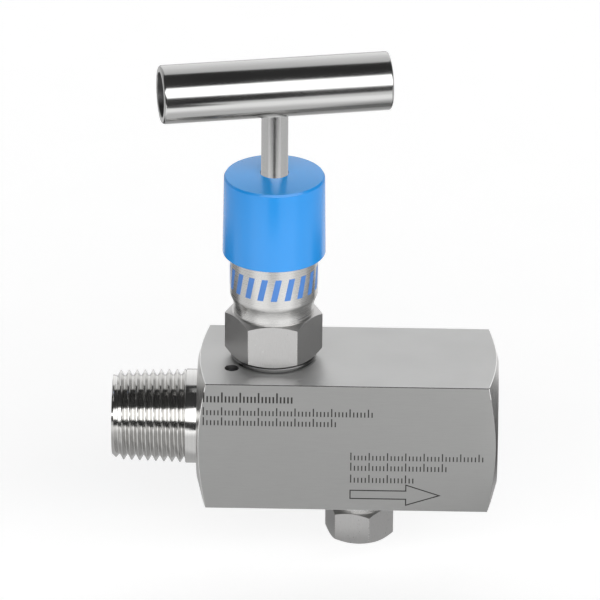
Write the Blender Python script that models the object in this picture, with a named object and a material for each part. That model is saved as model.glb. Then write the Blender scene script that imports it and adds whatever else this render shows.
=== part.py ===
"""Needle valve of bar stock with one bleed port: a Blender 4.5 script, in metres, +Z up.

The origin is where the stem's axis meets the body's flat underside. The flow runs along +X, from
the male inlet thread to the female outlet port, and the stem rises along +Z to a T-bar handle.
Every height below is counted from the flow axis, which an empty lifts to half the body's width.
The valve is shut at rest. The stem and its T-bar turn and rise on the stem's thread, the needle
under the stem rises without turning, and the bleed plug screws out along -Z.
"""

import math

import bmesh
import bpy
from mathutils import Matrix, Vector

# Clearances: GAP between pieces that rest on each other, FIT round a piece that turns in a bore.
# OVERLAP is how far one solid reaches into or past another before they are joined or cut.
GAP = 0.0002
FIT = 0.00015
OVERLAP = 0.0005
EDGE_BREAK = 0.0003
COUNTERSINK = 0.0006
SHARP_ANGLE = math.radians(30)

# Facets round each turn.
FINE_STEPS = 72
ROUND_STEPS = 40
BORE_STEPS = 24
SMALL_STEPS = 16
CLIP_STEPS = 12
THREAD_STEPS = 20

# Body, a square bar with turned ends.
BODY_WIDTH = 0.0309
BODY_INLET_X = -0.01700
BODY_OUTLET_X = 0.0507
END_FLAT_RADIUS = 0.0137
END_CHAMFER_ANGLE = math.radians(15)
BODY_TOP = BODY_WIDTH / 2
BODY_BOTTOM = -BODY_WIDTH / 2

# Pipe threads (NPT): pitch, crest radius at the large end, and a taper of 1 in 32 on the radius.
PIPE_TAPER = 1 / 32
INLET_PITCH = 0.0254 / 14
INLET_RADIUS = 0.0106
INLET_THREAD_LENGTH = 0.0168
INLET_NECK_LENGTH = 0.0024
INLET_NECK_RADIUS = 0.01067
INLET_BORE_RADIUS = 0.00575
INLET_BORE_CHAMFER = 0.0005
INLET_THREAD_CHAMFER = 0.0008
OUTLET_RADIUS = 0.01067
OUTLET_DEPTH = 0.018
OUTLET_COUNTERSINK = 0.0008
OUTLET_DRILL_STEP = 0.0010
OUTLET_DRILL_LENGTH = 0.0015
OUTLET_DRILL_POINT = 0.0030
BLEED_PITCH = 0.0254 / 18
BLEED_RADIUS = 0.00678
THREAD_DEPTH_SHARE = 0.68

# Flow passages inside the body.
SEAT_Z = -0.0010
ORIFICE_RADIUS = 0.0023
ORIFICE_BOTTOM = -0.0085
ORIFICE_DRILL_POINT = 0.0006
CHAMBER_RADIUS = 0.0052
SEAL_LEDGE_Z = 0.0060
INLET_BORE_END_X = -0.0150
INLET_DRILL_POINT = 0.0025
INLET_PASSAGE_RADIUS = 0.0024
INLET_PASSAGE_START = Vector((-0.0165, 0, -0.0018))
INLET_PASSAGE_END = Vector((0, 0, -0.0070))
OUTLET_PASSAGE_RADIUS = 0.0026
OUTLET_PASSAGE_START = Vector((0.0015, 0, 0.0026))
OUTLET_PASSAGE_END = Vector((0.0315, 0, 0))

# Bonnet, from its threaded end upwards.
BONNET_THREAD_RADIUS = 0.0080
BONNET_PITCH = 0.0015
BONNET_BOTTOM = 0.0076
BONNET_RELIEF_RADIUS = 0.0074
BONNET_RELIEF_DEPTH = 0.0020
COLLAR_RADIUS = 0.0096
HEX_BOTTOM = 0.01675
HEX_TOP = 0.0269
BONNET_HEX_FLATS = 0.01905
NECK_RADIUS = 0.0090
NECK_TOP = 0.0293
BAND_RADIUS = 0.00985
BAND_BOTTOM = 0.0311
BONNET_TOP = 0.0460
BONNET_TOP_CHAMFER = 0.0010
STEM_BORE_TOP = 0.0290
BACK_SEAT_Z = 0.0244
BACK_SEAT_RISE = 0.0012
PACKING_RADIUS = 0.0060
GLAND_THREAD_RADIUS = 0.0073
GLAND_THREAD_BOTTOM = 0.0425
GLAND_PITCH = 0.0010

# Stem, needle and the parts that join them.
STEM_RADIUS = 0.0030
STEM_TOP = 0.0841
STEM_TOP_CHAMFER = 0.0004
STEM_BOTTOM = 0.0090
STEM_THREAD_TOP = 0.0190
STEM_THREAD_RADIUS = 0.0050
STEM_RELIEF_RADIUS = 0.0043
STEM_PITCH = 0.0010
SOCKET_RADIUS = 0.0026
SOCKET_TOP = 0.0148
SOCKET_DRILL_POINT = 0.0008
CLIP_Z = 0.0110
CLIP_HALF_HEIGHT = 0.00035
CLIP_GROOVE_RADIUS = 0.0030
CLIP_SPLIT_RADIUS = 0.0006
NEEDLE_GROOVE_RADIUS = 0.0018
BALL_RADIUS = 0.0012
NEEDLE_RADIUS = 0.0032
NEEDLE_HALF_ANGLE = math.radians(30)
NEEDLE_POINT_RADIUS = 0.0004

# Packing set, stacked upwards from the floor of the packing chamber.
WASHER_HEIGHT = 0.0010
PACKING_RING_HEIGHT = 0.0024
CHEVRON_RISE = 0.0008
GLAND_BUSH_TOP = 0.0424

# Gland nut and lock nut, under the cap.
LOCK_NUT_FLATS = 0.0168
LOCK_NUT_HEIGHT = 0.0028
GLAND_NUT_FLATS = 0.0150
GLAND_NUT_TOP = 0.0545
GLAND_NUT_TURN = math.radians(15)
HEXAGON_TURNING_INSET = 0.00013

# Dust cap.
CAP_TOP = 0.0600
CAP_BOTTOM = 0.0413
CAP_TOP_RADIUS = 0.01127
CAP_BOTTOM_RADIUS = 0.01153
CAP_BORE_RADIUS = BAND_RADIUS + GAP
CAP_ROOF = 0.0020
CAP_CROWN = 0.0004
CAP_EDGE = 0.0004

# T-bar handle.
HANDLE_Z = 0.0811
HANDLE_LENGTH = 0.0513
HANDLE_RADIUS = 0.00655
HANDLE_BORE_RADIUS = 0.0050
HANDLE_END_ROUND = 0.0011
HANDLE_TURN = math.radians(11.1)
HANDLE_CORE_LENGTH = 0.0150
SET_SCREW_RADIUS = 0.0020
SET_SCREW_OUTER = 0.0061
SET_SCREW_KEY_FLATS = 0.0020
SET_SCREW_KEY_DEPTH = 0.0016
SET_SCREW_POINT = 0.0006

# Bleed port and plug.
BLEED_X = 0.0197
BLEED_PORT_TOP = -0.0045
BLEED_HOLE_RADIUS = 0.0016
BLEED_HOLE_TOP = 0.0008
BLEED_DRILL_POINT = 0.0012
PLUG_THREAD_TOP = -0.0062
PLUG_THREAD_BOTTOM = -0.0190
PLUG_THREAD_CHAMFER = 0.0005
PLUG_NECK_RADIUS = 0.0062
PLUG_HEX_TOP = -0.0209
PLUG_HEX_BOTTOM = -0.0284
PLUG_HEX_FLATS = 0.0138
PLUG_HEX_TURN = math.radians(17)
TAPE_THICKNESS = 0.0001
TAPE_TOP = -0.0077

# Blind hole beside the bonnet, with the slotted spring pin that stops the bonnet from turning.
LOCK_HOLE_CENTRE = Vector((-0.0092, -0.0069, BODY_TOP))
LOCK_HOLE_RADIUS = 0.00154
LOCK_HOLE_DEPTH = 0.0060
LOCK_DRILL_POINT = 0.0008
LOCK_PIN_WALL = 0.00055
LOCK_PIN_SINK = 0.0009
LOCK_PIN_LENGTH = 0.0048


def clear_scene():
    for obj in list(bpy.data.objects):
        bpy.data.objects.remove(obj)


def make_material(name, colour, roughness, metallic):
    material = bpy.data.materials.new(name)
    material.use_nodes = True
    surface = material.node_tree.nodes["Principled BSDF"]
    surface.inputs["Base Color"].default_value = (*colour, 1)
    surface.inputs["Roughness"].default_value = roughness
    surface.inputs["Metallic"].default_value = metallic
    return material


def add_object(name, bm, material):
    """Closes and tidies the mesh in bm and links it to the scene as an object."""
    bmesh.ops.remove_doubles(bm, verts=bm.verts, dist=1e-7)
    bmesh.ops.dissolve_degenerate(bm, edges=bm.edges, dist=1e-8)
    bmesh.ops.recalc_face_normals(bm, faces=bm.faces)
    mesh = bpy.data.meshes.new(name)
    bm.to_mesh(mesh)
    bm.free()
    obj = bpy.data.objects.new(name, mesh)
    bpy.context.scene.collection.objects.link(obj)
    if material:
        mesh.materials.append(material)
    mesh.shade_smooth()
    mesh.set_sharp_from_angle(angle=SHARP_ANGLE)
    return obj


def lathe(name, profile, material=None, steps=ROUND_STEPS):
    """A solid turned about Z from a closed outline of (radius, height) points."""
    bm = bmesh.new()
    verts = [bm.verts.new((radius, 0, height)) for radius, height in profile]
    edges = [bm.edges.new(pair) for pair in zip(verts, verts[1:] + verts[:1])]
    on_axis = [e for e in edges if all(abs(v.co.x) < 1e-9 for v in e.verts)]
    for edge in on_axis:
        edges.remove(edge)
        bm.edges.remove(edge)
    bmesh.ops.spin(
        bm,
        geom=verts + edges,
        cent=(0, 0, 0),
        axis=(0, 0, 1),
        angle=2 * math.pi,
        steps=steps,
        use_merge=True,
    )
    return add_object(name, bm, material)


def hexagon(name, flats, bottom, top, material=None, turn=0.0):
    """A hexagonal prism whose corners are turned by the given angle from +X."""
    bm = bmesh.new()
    corner_radius = flats / 2 / math.cos(math.pi / 6)
    bmesh.ops.create_circle(bm, cap_ends=True, segments=6, radius=corner_radius)
    bmesh.ops.rotate(bm, verts=bm.verts, matrix=Matrix.Rotation(turn + math.pi / 2, 3, "Z"))
    bmesh.ops.translate(bm, verts=bm.verts, vec=(0, 0, bottom))
    made = bmesh.ops.extrude_face_region(bm, geom=list(bm.faces))
    raised = [item for item in made["geom"] if isinstance(item, bmesh.types.BMVert)]
    bmesh.ops.translate(bm, verts=raised, vec=(0, 0, top - bottom))
    return add_object(name, bm, material)


def block(name, centre, size):
    """A plain rectangular block with its edges along the axes."""
    bm = bmesh.new()
    place = Matrix.Translation(centre) @ Matrix.Diagonal((*size, 1))
    bmesh.ops.create_cube(bm, size=1, matrix=place)
    return add_object(name, bm, None)


def rod_between(name, start, end, radius, steps=BORE_STEPS):
    """A plain cylinder from one point to another, for slanted passages."""
    along = end - start
    bm = bmesh.new()
    turn = along.to_track_quat("Z", "Y").to_matrix().to_4x4()
    place = Matrix.Translation((start + end) / 2) @ turn
    bmesh.ops.create_cone(
        bm,
        cap_ends=True,
        segments=steps,
        radius1=radius,
        radius2=radius,
        depth=along.length,
        matrix=place,
    )
    return add_object(name, bm, None)


def threaded_rod(name, bottom, top, pitch, crest_radius, taper=0.0, chamfer=0.0, material=None):
    """A solid with a right-hand V thread about Z, closed by flat ends.

    crest_radius is at the bottom end, and the taper takes radius away with height. The chamfer
    narrows the top end. Each column of points follows the helix, so crest and root run true.
    """
    depth = THREAD_DEPTH_SHARE * pitch
    turns = math.ceil((top - bottom) / pitch)
    stations = [n + half for n in range(-1, turns + 2) for half in (0.0, 0.5)]

    def radius_at(height, station):
        crest = crest_radius - taper * (height - bottom)
        groove = depth * (1 - abs(2 * (station % 1.0) - 1))
        narrowed = crest_radius - taper * (top - bottom) - chamfer * (1 - (top - height) / pitch)
        return min(crest - groove, max(narrowed, crest - depth)) if chamfer else crest - groove

    bm = bmesh.new()
    columns = []
    for step in range(THREAD_STEPS + 1):
        angle = 2 * math.pi * step / THREAD_STEPS
        column = []
        for station in stations:
            height = bottom + (station + step / THREAD_STEPS) * pitch
            height = min(max(height, bottom), top)
            phase = (height - bottom) / pitch - step / THREAD_STEPS
            radius = radius_at(height, phase)
            column.append(bm.verts.new((radius * math.cos(angle), radius * math.sin(angle), height)))
        columns.append(column)
    for left, right in zip(columns, columns[1:]):
        for low in range(len(stations) - 1):
            bm.faces.new((left[low], right[low], right[low + 1], left[low + 1]))
    bmesh.ops.remove_doubles(bm, verts=bm.verts, dist=1e-7)
    bmesh.ops.dissolve_degenerate(bm, edges=bm.edges, dist=1e-8)
    open_edges = [edge for edge in bm.edges if edge.is_boundary]
    bmesh.ops.holes_fill(bm, edges=open_edges, sides=0)
    return add_object(name, bm, material)


def combine(target, other, operation):
    """Applies a Boolean of other to target and removes other."""
    modifier = target.modifiers.new("combine", "BOOLEAN")
    modifier.operation = operation
    modifier.object = other
    bpy.context.view_layer.objects.active = target
    bpy.ops.object.modifier_apply(modifier=modifier.name)
    bpy.data.objects.remove(other)
    target.data.shade_smooth()
    target.data.set_sharp_from_angle(angle=SHARP_ANGLE)


def lay_along(obj, direction, at=Vector((0, 0, 0))):
    """Turns an object built about Z so that its axis points along direction, and moves it."""
    turn = direction.to_track_quat("Z", "Y").to_matrix().to_4x4()
    obj.data.transform(Matrix.Translation(at) @ turn)


def chamfered_hexagon(name, flats, bottom, top, ends, material, turn=0.0):
    """A hexagon whose corners are cut by 30 degree cones at the bottom, the top or both."""
    nut = hexagon(name, flats, bottom, top, material, turn)
    start = flats / 2 - HEXAGON_TURNING_INSET
    reach = flats / 2 / math.cos(math.pi / 6) + OVERLAP
    rise = (reach - start) * math.tan(math.radians(30))
    low_cut = [(start, bottom - OVERLAP), (start, bottom), (reach, bottom + rise)]
    high_cut = [(reach, top - rise), (start, top), (start, top + OVERLAP)]
    low_plain = [(reach, bottom - OVERLAP)]
    high_plain = [(reach, top + OVERLAP)]
    outline = [(0, bottom - OVERLAP)]
    outline += low_cut if "bottom" in ends else low_plain
    outline += high_cut if "top" in ends else high_plain
    outline += [(0, top + OVERLAP)]
    combine(nut, lathe("hexagon_turning", outline), "INTERSECT")
    return nut


def build_body(steel):
    """The bar-stock body with its male end, passages, seat, ports and lock-pin hole."""
    length = BODY_OUTLET_X - BODY_INLET_X
    bm = bmesh.new()
    bmesh.ops.create_cube(bm, size=1)
    bmesh.ops.scale(bm, verts=bm.verts, vec=(length, BODY_WIDTH, BODY_WIDTH))
    bmesh.ops.translate(bm, verts=bm.verts, vec=(BODY_INLET_X + length / 2, 0, 0))
    long_edges = [e for e in bm.edges if abs(e.verts[0].co.x - e.verts[1].co.x) > length / 2]
    bmesh.ops.bevel(bm, geom=long_edges, offset=EDGE_BREAK, segments=1, affect="EDGES")
    body = add_object("valve_body", bm, steel)

    corner = BODY_WIDTH * 0.75
    inset = (corner - END_FLAT_RADIUS) * math.tan(END_CHAMFER_ANGLE)
    turned_ends = lathe(
        "turned_ends",
        [
            (0, BODY_INLET_X - OVERLAP),
            (END_FLAT_RADIUS, BODY_INLET_X - OVERLAP),
            (END_FLAT_RADIUS, BODY_INLET_X),
            (corner, BODY_INLET_X + inset),
            (corner, BODY_OUTLET_X - inset),
            (END_FLAT_RADIUS, BODY_OUTLET_X),
            (END_FLAT_RADIUS, BODY_OUTLET_X + OVERLAP),
            (0, BODY_OUTLET_X + OVERLAP),
        ],
        steps=FINE_STEPS,
    )
    lay_along(turned_ends, Vector((1, 0, 0)))
    combine(body, turned_ends, "INTERSECT")

    thread_root_x = BODY_INLET_X - INLET_NECK_LENGTH
    inlet_x = thread_root_x - INLET_THREAD_LENGTH
    male_thread = threaded_rod(
        "inlet_thread",
        0,
        INLET_THREAD_LENGTH,
        INLET_PITCH,
        INLET_RADIUS,
        PIPE_TAPER,
        chamfer=INLET_THREAD_CHAMFER,
    )
    lay_along(male_thread, Vector((-1, 0, 0)), Vector((thread_root_x, 0, 0)))
    neck_start = thread_root_x - OVERLAP / 2
    neck = lathe(
        "inlet_neck",
        [
            (0, neck_start),
            (INLET_NECK_RADIUS, neck_start),
            (INLET_NECK_RADIUS, BODY_INLET_X + 2 * OVERLAP),
            (0, BODY_INLET_X + 2 * OVERLAP),
        ],
    )
    lay_along(neck, Vector((1, 0, 0)))
    combine(body, neck, "UNION")
    combine(body, male_thread, "UNION")

    inlet_bore = lathe(
        "inlet_bore",
        [
            (0, inlet_x - 2 * INLET_BORE_CHAMFER),
            (INLET_BORE_RADIUS + 3 * INLET_BORE_CHAMFER, inlet_x - 2 * INLET_BORE_CHAMFER),
            (INLET_BORE_RADIUS, inlet_x + INLET_BORE_CHAMFER),
            (INLET_BORE_RADIUS, INLET_BORE_END_X - INLET_DRILL_POINT),
            (0, INLET_BORE_END_X),
        ],
        steps=BORE_STEPS,
    )
    lay_along(inlet_bore, Vector((1, 0, 0)))
    combine(body, inlet_bore, "DIFFERENCE")

    inlet_passage = rod_between(
        "inlet_passage", INLET_PASSAGE_START, INLET_PASSAGE_END, INLET_PASSAGE_RADIUS
    )
    combine(body, inlet_passage, "DIFFERENCE")

    bonnet_hole = BONNET_THREAD_RADIUS + GAP
    stem_cavity = lathe(
        "stem_cavity",
        [
            (0, ORIFICE_BOTTOM),
            (ORIFICE_RADIUS, ORIFICE_BOTTOM + ORIFICE_DRILL_POINT),
            (ORIFICE_RADIUS, SEAT_Z),
            (CHAMBER_RADIUS, SEAT_Z),
            (CHAMBER_RADIUS, SEAL_LEDGE_Z),
            (bonnet_hole, SEAL_LEDGE_Z),
            (bonnet_hole, BODY_TOP - COUNTERSINK),
            (bonnet_hole + 2 * COUNTERSINK, BODY_TOP + COUNTERSINK),
            (0, BODY_TOP + COUNTERSINK),
        ],
    )
    combine(body, stem_cavity, "DIFFERENCE")

    port_floor_x = BODY_OUTLET_X - OUTLET_DEPTH
    port_floor_radius = OUTLET_RADIUS - PIPE_TAPER * OUTLET_DEPTH
    drill_radius = port_floor_radius - OUTLET_DRILL_STEP
    drill_end_x = port_floor_x - OUTLET_DRILL_LENGTH
    outlet_port = lathe(
        "outlet_port",
        [
            (0, drill_end_x - OUTLET_DRILL_POINT),
            (drill_radius, drill_end_x),
            (drill_radius, port_floor_x),
            (port_floor_radius, port_floor_x),
            (OUTLET_RADIUS, BODY_OUTLET_X - OUTLET_COUNTERSINK),
            (OUTLET_RADIUS + 2 * OUTLET_COUNTERSINK, BODY_OUTLET_X + OUTLET_COUNTERSINK),
            (0, BODY_OUTLET_X + OUTLET_COUNTERSINK),
        ],
    )
    lay_along(outlet_port, Vector((1, 0, 0)))
    combine(body, outlet_port, "DIFFERENCE")
    outlet_passage = rod_between(
        "outlet_passage", OUTLET_PASSAGE_START, OUTLET_PASSAGE_END, OUTLET_PASSAGE_RADIUS
    )
    combine(body, outlet_passage, "DIFFERENCE")

    bleed_mouth = BLEED_RADIUS + 2 * GAP
    bleed_inner = bleed_mouth - PIPE_TAPER * (BLEED_PORT_TOP - BODY_BOTTOM)
    bleed_port = lathe(
        "bleed_port",
        [
            (0, BODY_BOTTOM - COUNTERSINK),
            (bleed_mouth + 2 * COUNTERSINK, BODY_BOTTOM - COUNTERSINK),
            (bleed_mouth, BODY_BOTTOM + COUNTERSINK),
            (bleed_inner, BLEED_PORT_TOP),
            (BLEED_HOLE_RADIUS, BLEED_PORT_TOP + BLEED_DRILL_POINT),
            (BLEED_HOLE_RADIUS, BLEED_HOLE_TOP),
            (0, BLEED_HOLE_TOP),
        ],
    )
    bleed_port.data.transform(Matrix.Translation((BLEED_X, 0, 0)))
    combine(body, bleed_port, "DIFFERENCE")

    lock_hole = lathe(
        "lock_hole",
        [
            (0, -LOCK_HOLE_DEPTH - LOCK_DRILL_POINT),
            (LOCK_HOLE_RADIUS, -LOCK_HOLE_DEPTH),
            (LOCK_HOLE_RADIUS, OVERLAP),
            (0, OVERLAP),
        ],
        steps=SMALL_STEPS,
    )
    lock_hole.data.transform(Matrix.Translation(LOCK_HOLE_CENTRE))
    combine(body, lock_hole, "DIFFERENCE")
    return body


def build_lock_pin(hard_steel):
    """The spring pin: a short tube with a slot along it, sunk a little below the body's face."""
    outer = LOCK_HOLE_RADIUS - GAP / 2
    inner = outer - LOCK_PIN_WALL
    top = -LOCK_PIN_SINK
    pin = ring("bonnet_lock_pin", inner, outer, top - LOCK_PIN_LENGTH, top, hard_steel, SMALL_STEPS)
    slot_size = (2 * LOCK_PIN_WALL, LOCK_PIN_WALL, LOCK_PIN_LENGTH + 2 * OVERLAP)
    slot_centre = (-(inner + outer) / 2, 0, top - LOCK_PIN_LENGTH / 2)
    slot = block("pin_slot", slot_centre, slot_size)
    combine(pin, slot, "DIFFERENCE")
    pin.location = LOCK_HOLE_CENTRE
    return pin


def build_bonnet(steel):
    """The screwed bonnet: thread, collar, hexagon, neck, marked band and packing chamber."""
    collar_bottom = BODY_TOP + GAP
    relief_bottom = BODY_TOP - BONNET_RELIEF_DEPTH
    bonnet = lathe(
        "bonnet",
        [
            (0, relief_bottom),
            (BONNET_RELIEF_RADIUS, relief_bottom),
            (BONNET_RELIEF_RADIUS, collar_bottom),
            (COLLAR_RADIUS - EDGE_BREAK, collar_bottom),
            (COLLAR_RADIUS, collar_bottom + EDGE_BREAK),
            (COLLAR_RADIUS, HEX_BOTTOM + OVERLAP),
            (NECK_RADIUS, HEX_BOTTOM + 2 * OVERLAP),
            (NECK_RADIUS, NECK_TOP),
            (BAND_RADIUS, BAND_BOTTOM),
            (BAND_RADIUS, BONNET_TOP - BONNET_TOP_CHAMFER),
            (BAND_RADIUS - BONNET_TOP_CHAMFER, BONNET_TOP),
            (0, BONNET_TOP),
        ],
        steel,
    )
    bonnet_hex = chamfered_hexagon(
        "bonnet_hexagon", BONNET_HEX_FLATS, HEX_BOTTOM, HEX_TOP, ("bottom", "top"), None
    )
    combine(bonnet, bonnet_hex, "UNION")
    thread = threaded_rod(
        "bonnet_thread",
        BONNET_BOTTOM,
        relief_bottom + OVERLAP,
        BONNET_PITCH,
        BONNET_THREAD_RADIUS,
    )
    combine(bonnet, thread, "UNION")
    bore = STEM_THREAD_RADIUS + FIT
    stem_bore = STEM_RADIUS + GAP
    chamber = lathe(
        "bonnet_bore",
        [
            (0, BONNET_BOTTOM - OVERLAP),
            (bore, BONNET_BOTTOM - OVERLAP),
            (bore, BACK_SEAT_Z),
            (stem_bore, BACK_SEAT_Z + BACK_SEAT_RISE),
            (stem_bore, STEM_BORE_TOP),
            (PACKING_RADIUS, STEM_BORE_TOP),
            (PACKING_RADIUS, GLAND_THREAD_BOTTOM - OVERLAP),
            (GLAND_THREAD_RADIUS + GAP, GLAND_THREAD_BOTTOM - OVERLAP),
            (GLAND_THREAD_RADIUS + GAP, BONNET_TOP + OVERLAP),
            (0, BONNET_TOP + OVERLAP),
        ],
        steps=BORE_STEPS,
    )
    combine(bonnet, chamber, "DIFFERENCE")
    return bonnet


def build_seal_ring(soft):
    """The flat ring that the bonnet's end clamps on the body's ledge."""
    return ring(
        "bonnet_seal_ring",
        CHAMBER_RADIUS + GAP,
        BONNET_THREAD_RADIUS - GAP,
        SEAL_LEDGE_Z + GAP,
        BONNET_BOTTOM - GAP,
        soft,
    )


def ring(name, inner, outer, bottom, top, material, steps=ROUND_STEPS):
    """A plain ring of square section."""
    outline = [(inner, bottom), (outer, bottom), (outer, top), (inner, top)]
    return lathe(name, outline, material, steps)


def chevron(name, bottom, flat_bottom, flat_top, material):
    """A packing ring whose section is a V. An end ring has one flat side instead."""
    inner = STEM_RADIUS + FIT
    outer = PACKING_RADIUS - FIT
    middle = (inner + outer) / 2
    top = bottom + PACKING_RING_HEIGHT
    low = bottom if flat_bottom else bottom + CHEVRON_RISE
    high = top if flat_top else top + CHEVRON_RISE
    outline = [
        (inner, bottom),
        (middle, low),
        (outer, bottom),
        (outer, top),
        (middle, high),
        (inner, top),
    ]
    return lathe(name, outline, material, BORE_STEPS)


def build_packing(steel, packing):
    """Support washer, five packing rings and the gland bush that presses them."""
    inner = STEM_RADIUS + FIT
    outer = PACKING_RADIUS - FIT
    floor = STEM_BORE_TOP + GAP
    washer_top = floor + WASHER_HEIGHT
    ring("packing_washer", inner, outer, floor, washer_top, steel, BORE_STEPS)
    names = [
        "packing_base_ring",
        "packing_chevron_lower",
        "packing_chevron_middle",
        "packing_top_ring",
    ]
    bottom = washer_top + GAP
    for index, name in enumerate(names):
        chevron(name, bottom, index == 0, index == len(names) - 1, packing)
        bottom += PACKING_RING_HEIGHT + GAP
    ring("gland_bush", inner, outer, bottom, GLAND_BUSH_TOP, steel, BORE_STEPS)


def build_gland_nuts(steel):
    """The gland nut, threaded into the bonnet, and the lock nut that jams it."""
    lock_bottom = BONNET_TOP + GAP
    lock_top = lock_bottom + LOCK_NUT_HEIGHT
    lock_nut = chamfered_hexagon(
        "gland_lock_nut", LOCK_NUT_FLATS, lock_bottom, lock_top, ("top",), steel
    )
    hole = GLAND_THREAD_RADIUS + GAP
    cutter = lathe(
        "lock_nut_bore",
        [
            (0, lock_bottom - OVERLAP),
            (hole, lock_bottom - OVERLAP),
            (hole, lock_top + OVERLAP),
            (0, lock_top + OVERLAP),
        ],
        steps=BORE_STEPS,
    )
    combine(lock_nut, cutter, "DIFFERENCE")

    head_bottom = lock_top + GAP
    gland_nut = chamfered_hexagon(
        "gland_nut", GLAND_NUT_FLATS, head_bottom, GLAND_NUT_TOP, ("top",), steel, GLAND_NUT_TURN
    )
    shank_bottom = GLAND_BUSH_TOP + GAP
    shank = threaded_rod(
        "gland_shank", shank_bottom, head_bottom + OVERLAP, GLAND_PITCH, GLAND_THREAD_RADIUS
    )
    combine(gland_nut, shank, "UNION")
    bore = STEM_RADIUS + GAP
    cutter = lathe(
        "gland_bore",
        [
            (0, shank_bottom - OVERLAP),
            (bore, shank_bottom - OVERLAP),
            (bore, GLAND_NUT_TOP + OVERLAP),
            (0, GLAND_NUT_TOP + OVERLAP),
        ],
        steps=BORE_STEPS,
    )
    combine(gland_nut, cutter, "DIFFERENCE")


def build_dust_cap(plastic):
    """The moulded cap, drawn inwards to a slightly crowned top, with a hole for the stem."""
    hole = STEM_RADIUS + GAP
    roof = CAP_TOP - CAP_ROOF
    crown = [
        (share * CAP_TOP_RADIUS, CAP_TOP + CAP_CROWN * (1 - share**2)) for share in (0.75, 0.5)
    ]
    return lathe(
        "dust_cap",
        [
            *crown,
            (hole, CAP_TOP + CAP_CROWN),
            (hole, roof),
            (CAP_BORE_RADIUS, roof),
            (CAP_BORE_RADIUS, CAP_BOTTOM),
            (CAP_BOTTOM_RADIUS, CAP_BOTTOM),
            (CAP_TOP_RADIUS, CAP_TOP - CAP_EDGE),
            (CAP_TOP_RADIUS - CAP_EDGE, CAP_TOP),
        ],
        plastic,
    )


def build_stem(steel):
    """The rotating stem: shaft, back-seat shoulder, operating thread and socket for the needle."""
    shoulder = STEM_THREAD_TOP + BACK_SEAT_RISE
    stem = lathe(
        "stem",
        [
            (0, STEM_THREAD_TOP - OVERLAP),
            (STEM_RELIEF_RADIUS, STEM_THREAD_TOP - OVERLAP),
            (STEM_RELIEF_RADIUS, STEM_THREAD_TOP + GAP),
            (STEM_RADIUS, shoulder),
            (STEM_RADIUS, STEM_TOP - STEM_TOP_CHAMFER),
            (STEM_RADIUS - STEM_TOP_CHAMFER, STEM_TOP),
            (0, STEM_TOP),
        ],
        steel,
        BORE_STEPS,
    )
    thread = threaded_rod(
        "stem_thread", STEM_BOTTOM, STEM_THREAD_TOP, STEM_PITCH, STEM_THREAD_RADIUS
    )
    combine(stem, thread, "UNION")
    groove_half = CLIP_HALF_HEIGHT + GAP
    socket = lathe(
        "stem_socket",
        [
            (0, STEM_BOTTOM - OVERLAP),
            (SOCKET_RADIUS, STEM_BOTTOM - OVERLAP),
            (SOCKET_RADIUS, CLIP_Z - groove_half),
            (CLIP_GROOVE_RADIUS, CLIP_Z - groove_half),
            (CLIP_GROOVE_RADIUS, CLIP_Z + groove_half),
            (SOCKET_RADIUS, CLIP_Z + groove_half),
            (SOCKET_RADIUS, SOCKET_TOP - SOCKET_DRILL_POINT),
            (0, SOCKET_TOP),
        ],
        steps=SMALL_STEPS,
    )
    combine(stem, socket, "DIFFERENCE")
    return stem


def build_needle(steel, hard_steel):
    """The needle that does not turn, its thrust ball and the clip that holds it in the stem."""
    shank = SOCKET_RADIUS - GAP
    groove_half = CLIP_HALF_HEIGHT + GAP
    head_top = STEM_BOTTOM - GAP
    seat_radius = ORIFICE_RADIUS - FIT
    slope = math.tan(NEEDLE_HALF_ANGLE)
    cone_top = SEAT_Z + (NEEDLE_RADIUS - seat_radius) / slope
    point = SEAT_Z - (seat_radius - NEEDLE_POINT_RADIUS) / slope
    shank_top = SOCKET_TOP - SOCKET_DRILL_POINT - 2 * BALL_RADIUS
    lathe(
        "needle",
        [
            (0, point),
            (NEEDLE_POINT_RADIUS, point),
            (NEEDLE_RADIUS, cone_top),
            (NEEDLE_RADIUS, head_top - EDGE_BREAK),
            (NEEDLE_RADIUS - EDGE_BREAK, head_top),
            (shank, head_top),
            (shank, CLIP_Z - groove_half),
            (NEEDLE_GROOVE_RADIUS, CLIP_Z - groove_half),
            (NEEDLE_GROOVE_RADIUS, CLIP_Z + groove_half),
            (shank, CLIP_Z + groove_half),
            (shank, shank_top),
            (0, shank_top),
        ],
        steel,
        SMALL_STEPS,
    )
    bm = bmesh.new()
    place = Matrix.Translation((0, 0, shank_top + GAP + BALL_RADIUS))
    bmesh.ops.create_icosphere(bm, subdivisions=2, radius=BALL_RADIUS, matrix=place)
    add_object("thrust_ball", bm, hard_steel)

    clip = ring(
        "needle_clip",
        NEEDLE_GROOVE_RADIUS + GAP,
        SOCKET_RADIUS + GAP,
        CLIP_Z - CLIP_HALF_HEIGHT,
        CLIP_Z + CLIP_HALF_HEIGHT,
        hard_steel,
        SMALL_STEPS,
    )
    split_start = Vector((0, 0, CLIP_Z))
    split_end = Vector((2 * SOCKET_RADIUS, 0, CLIP_Z))
    split = rod_between("clip_split", split_start, split_end, CLIP_SPLIT_RADIUS, CLIP_STEPS)
    combine(clip, split, "DIFFERENCE")


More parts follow.
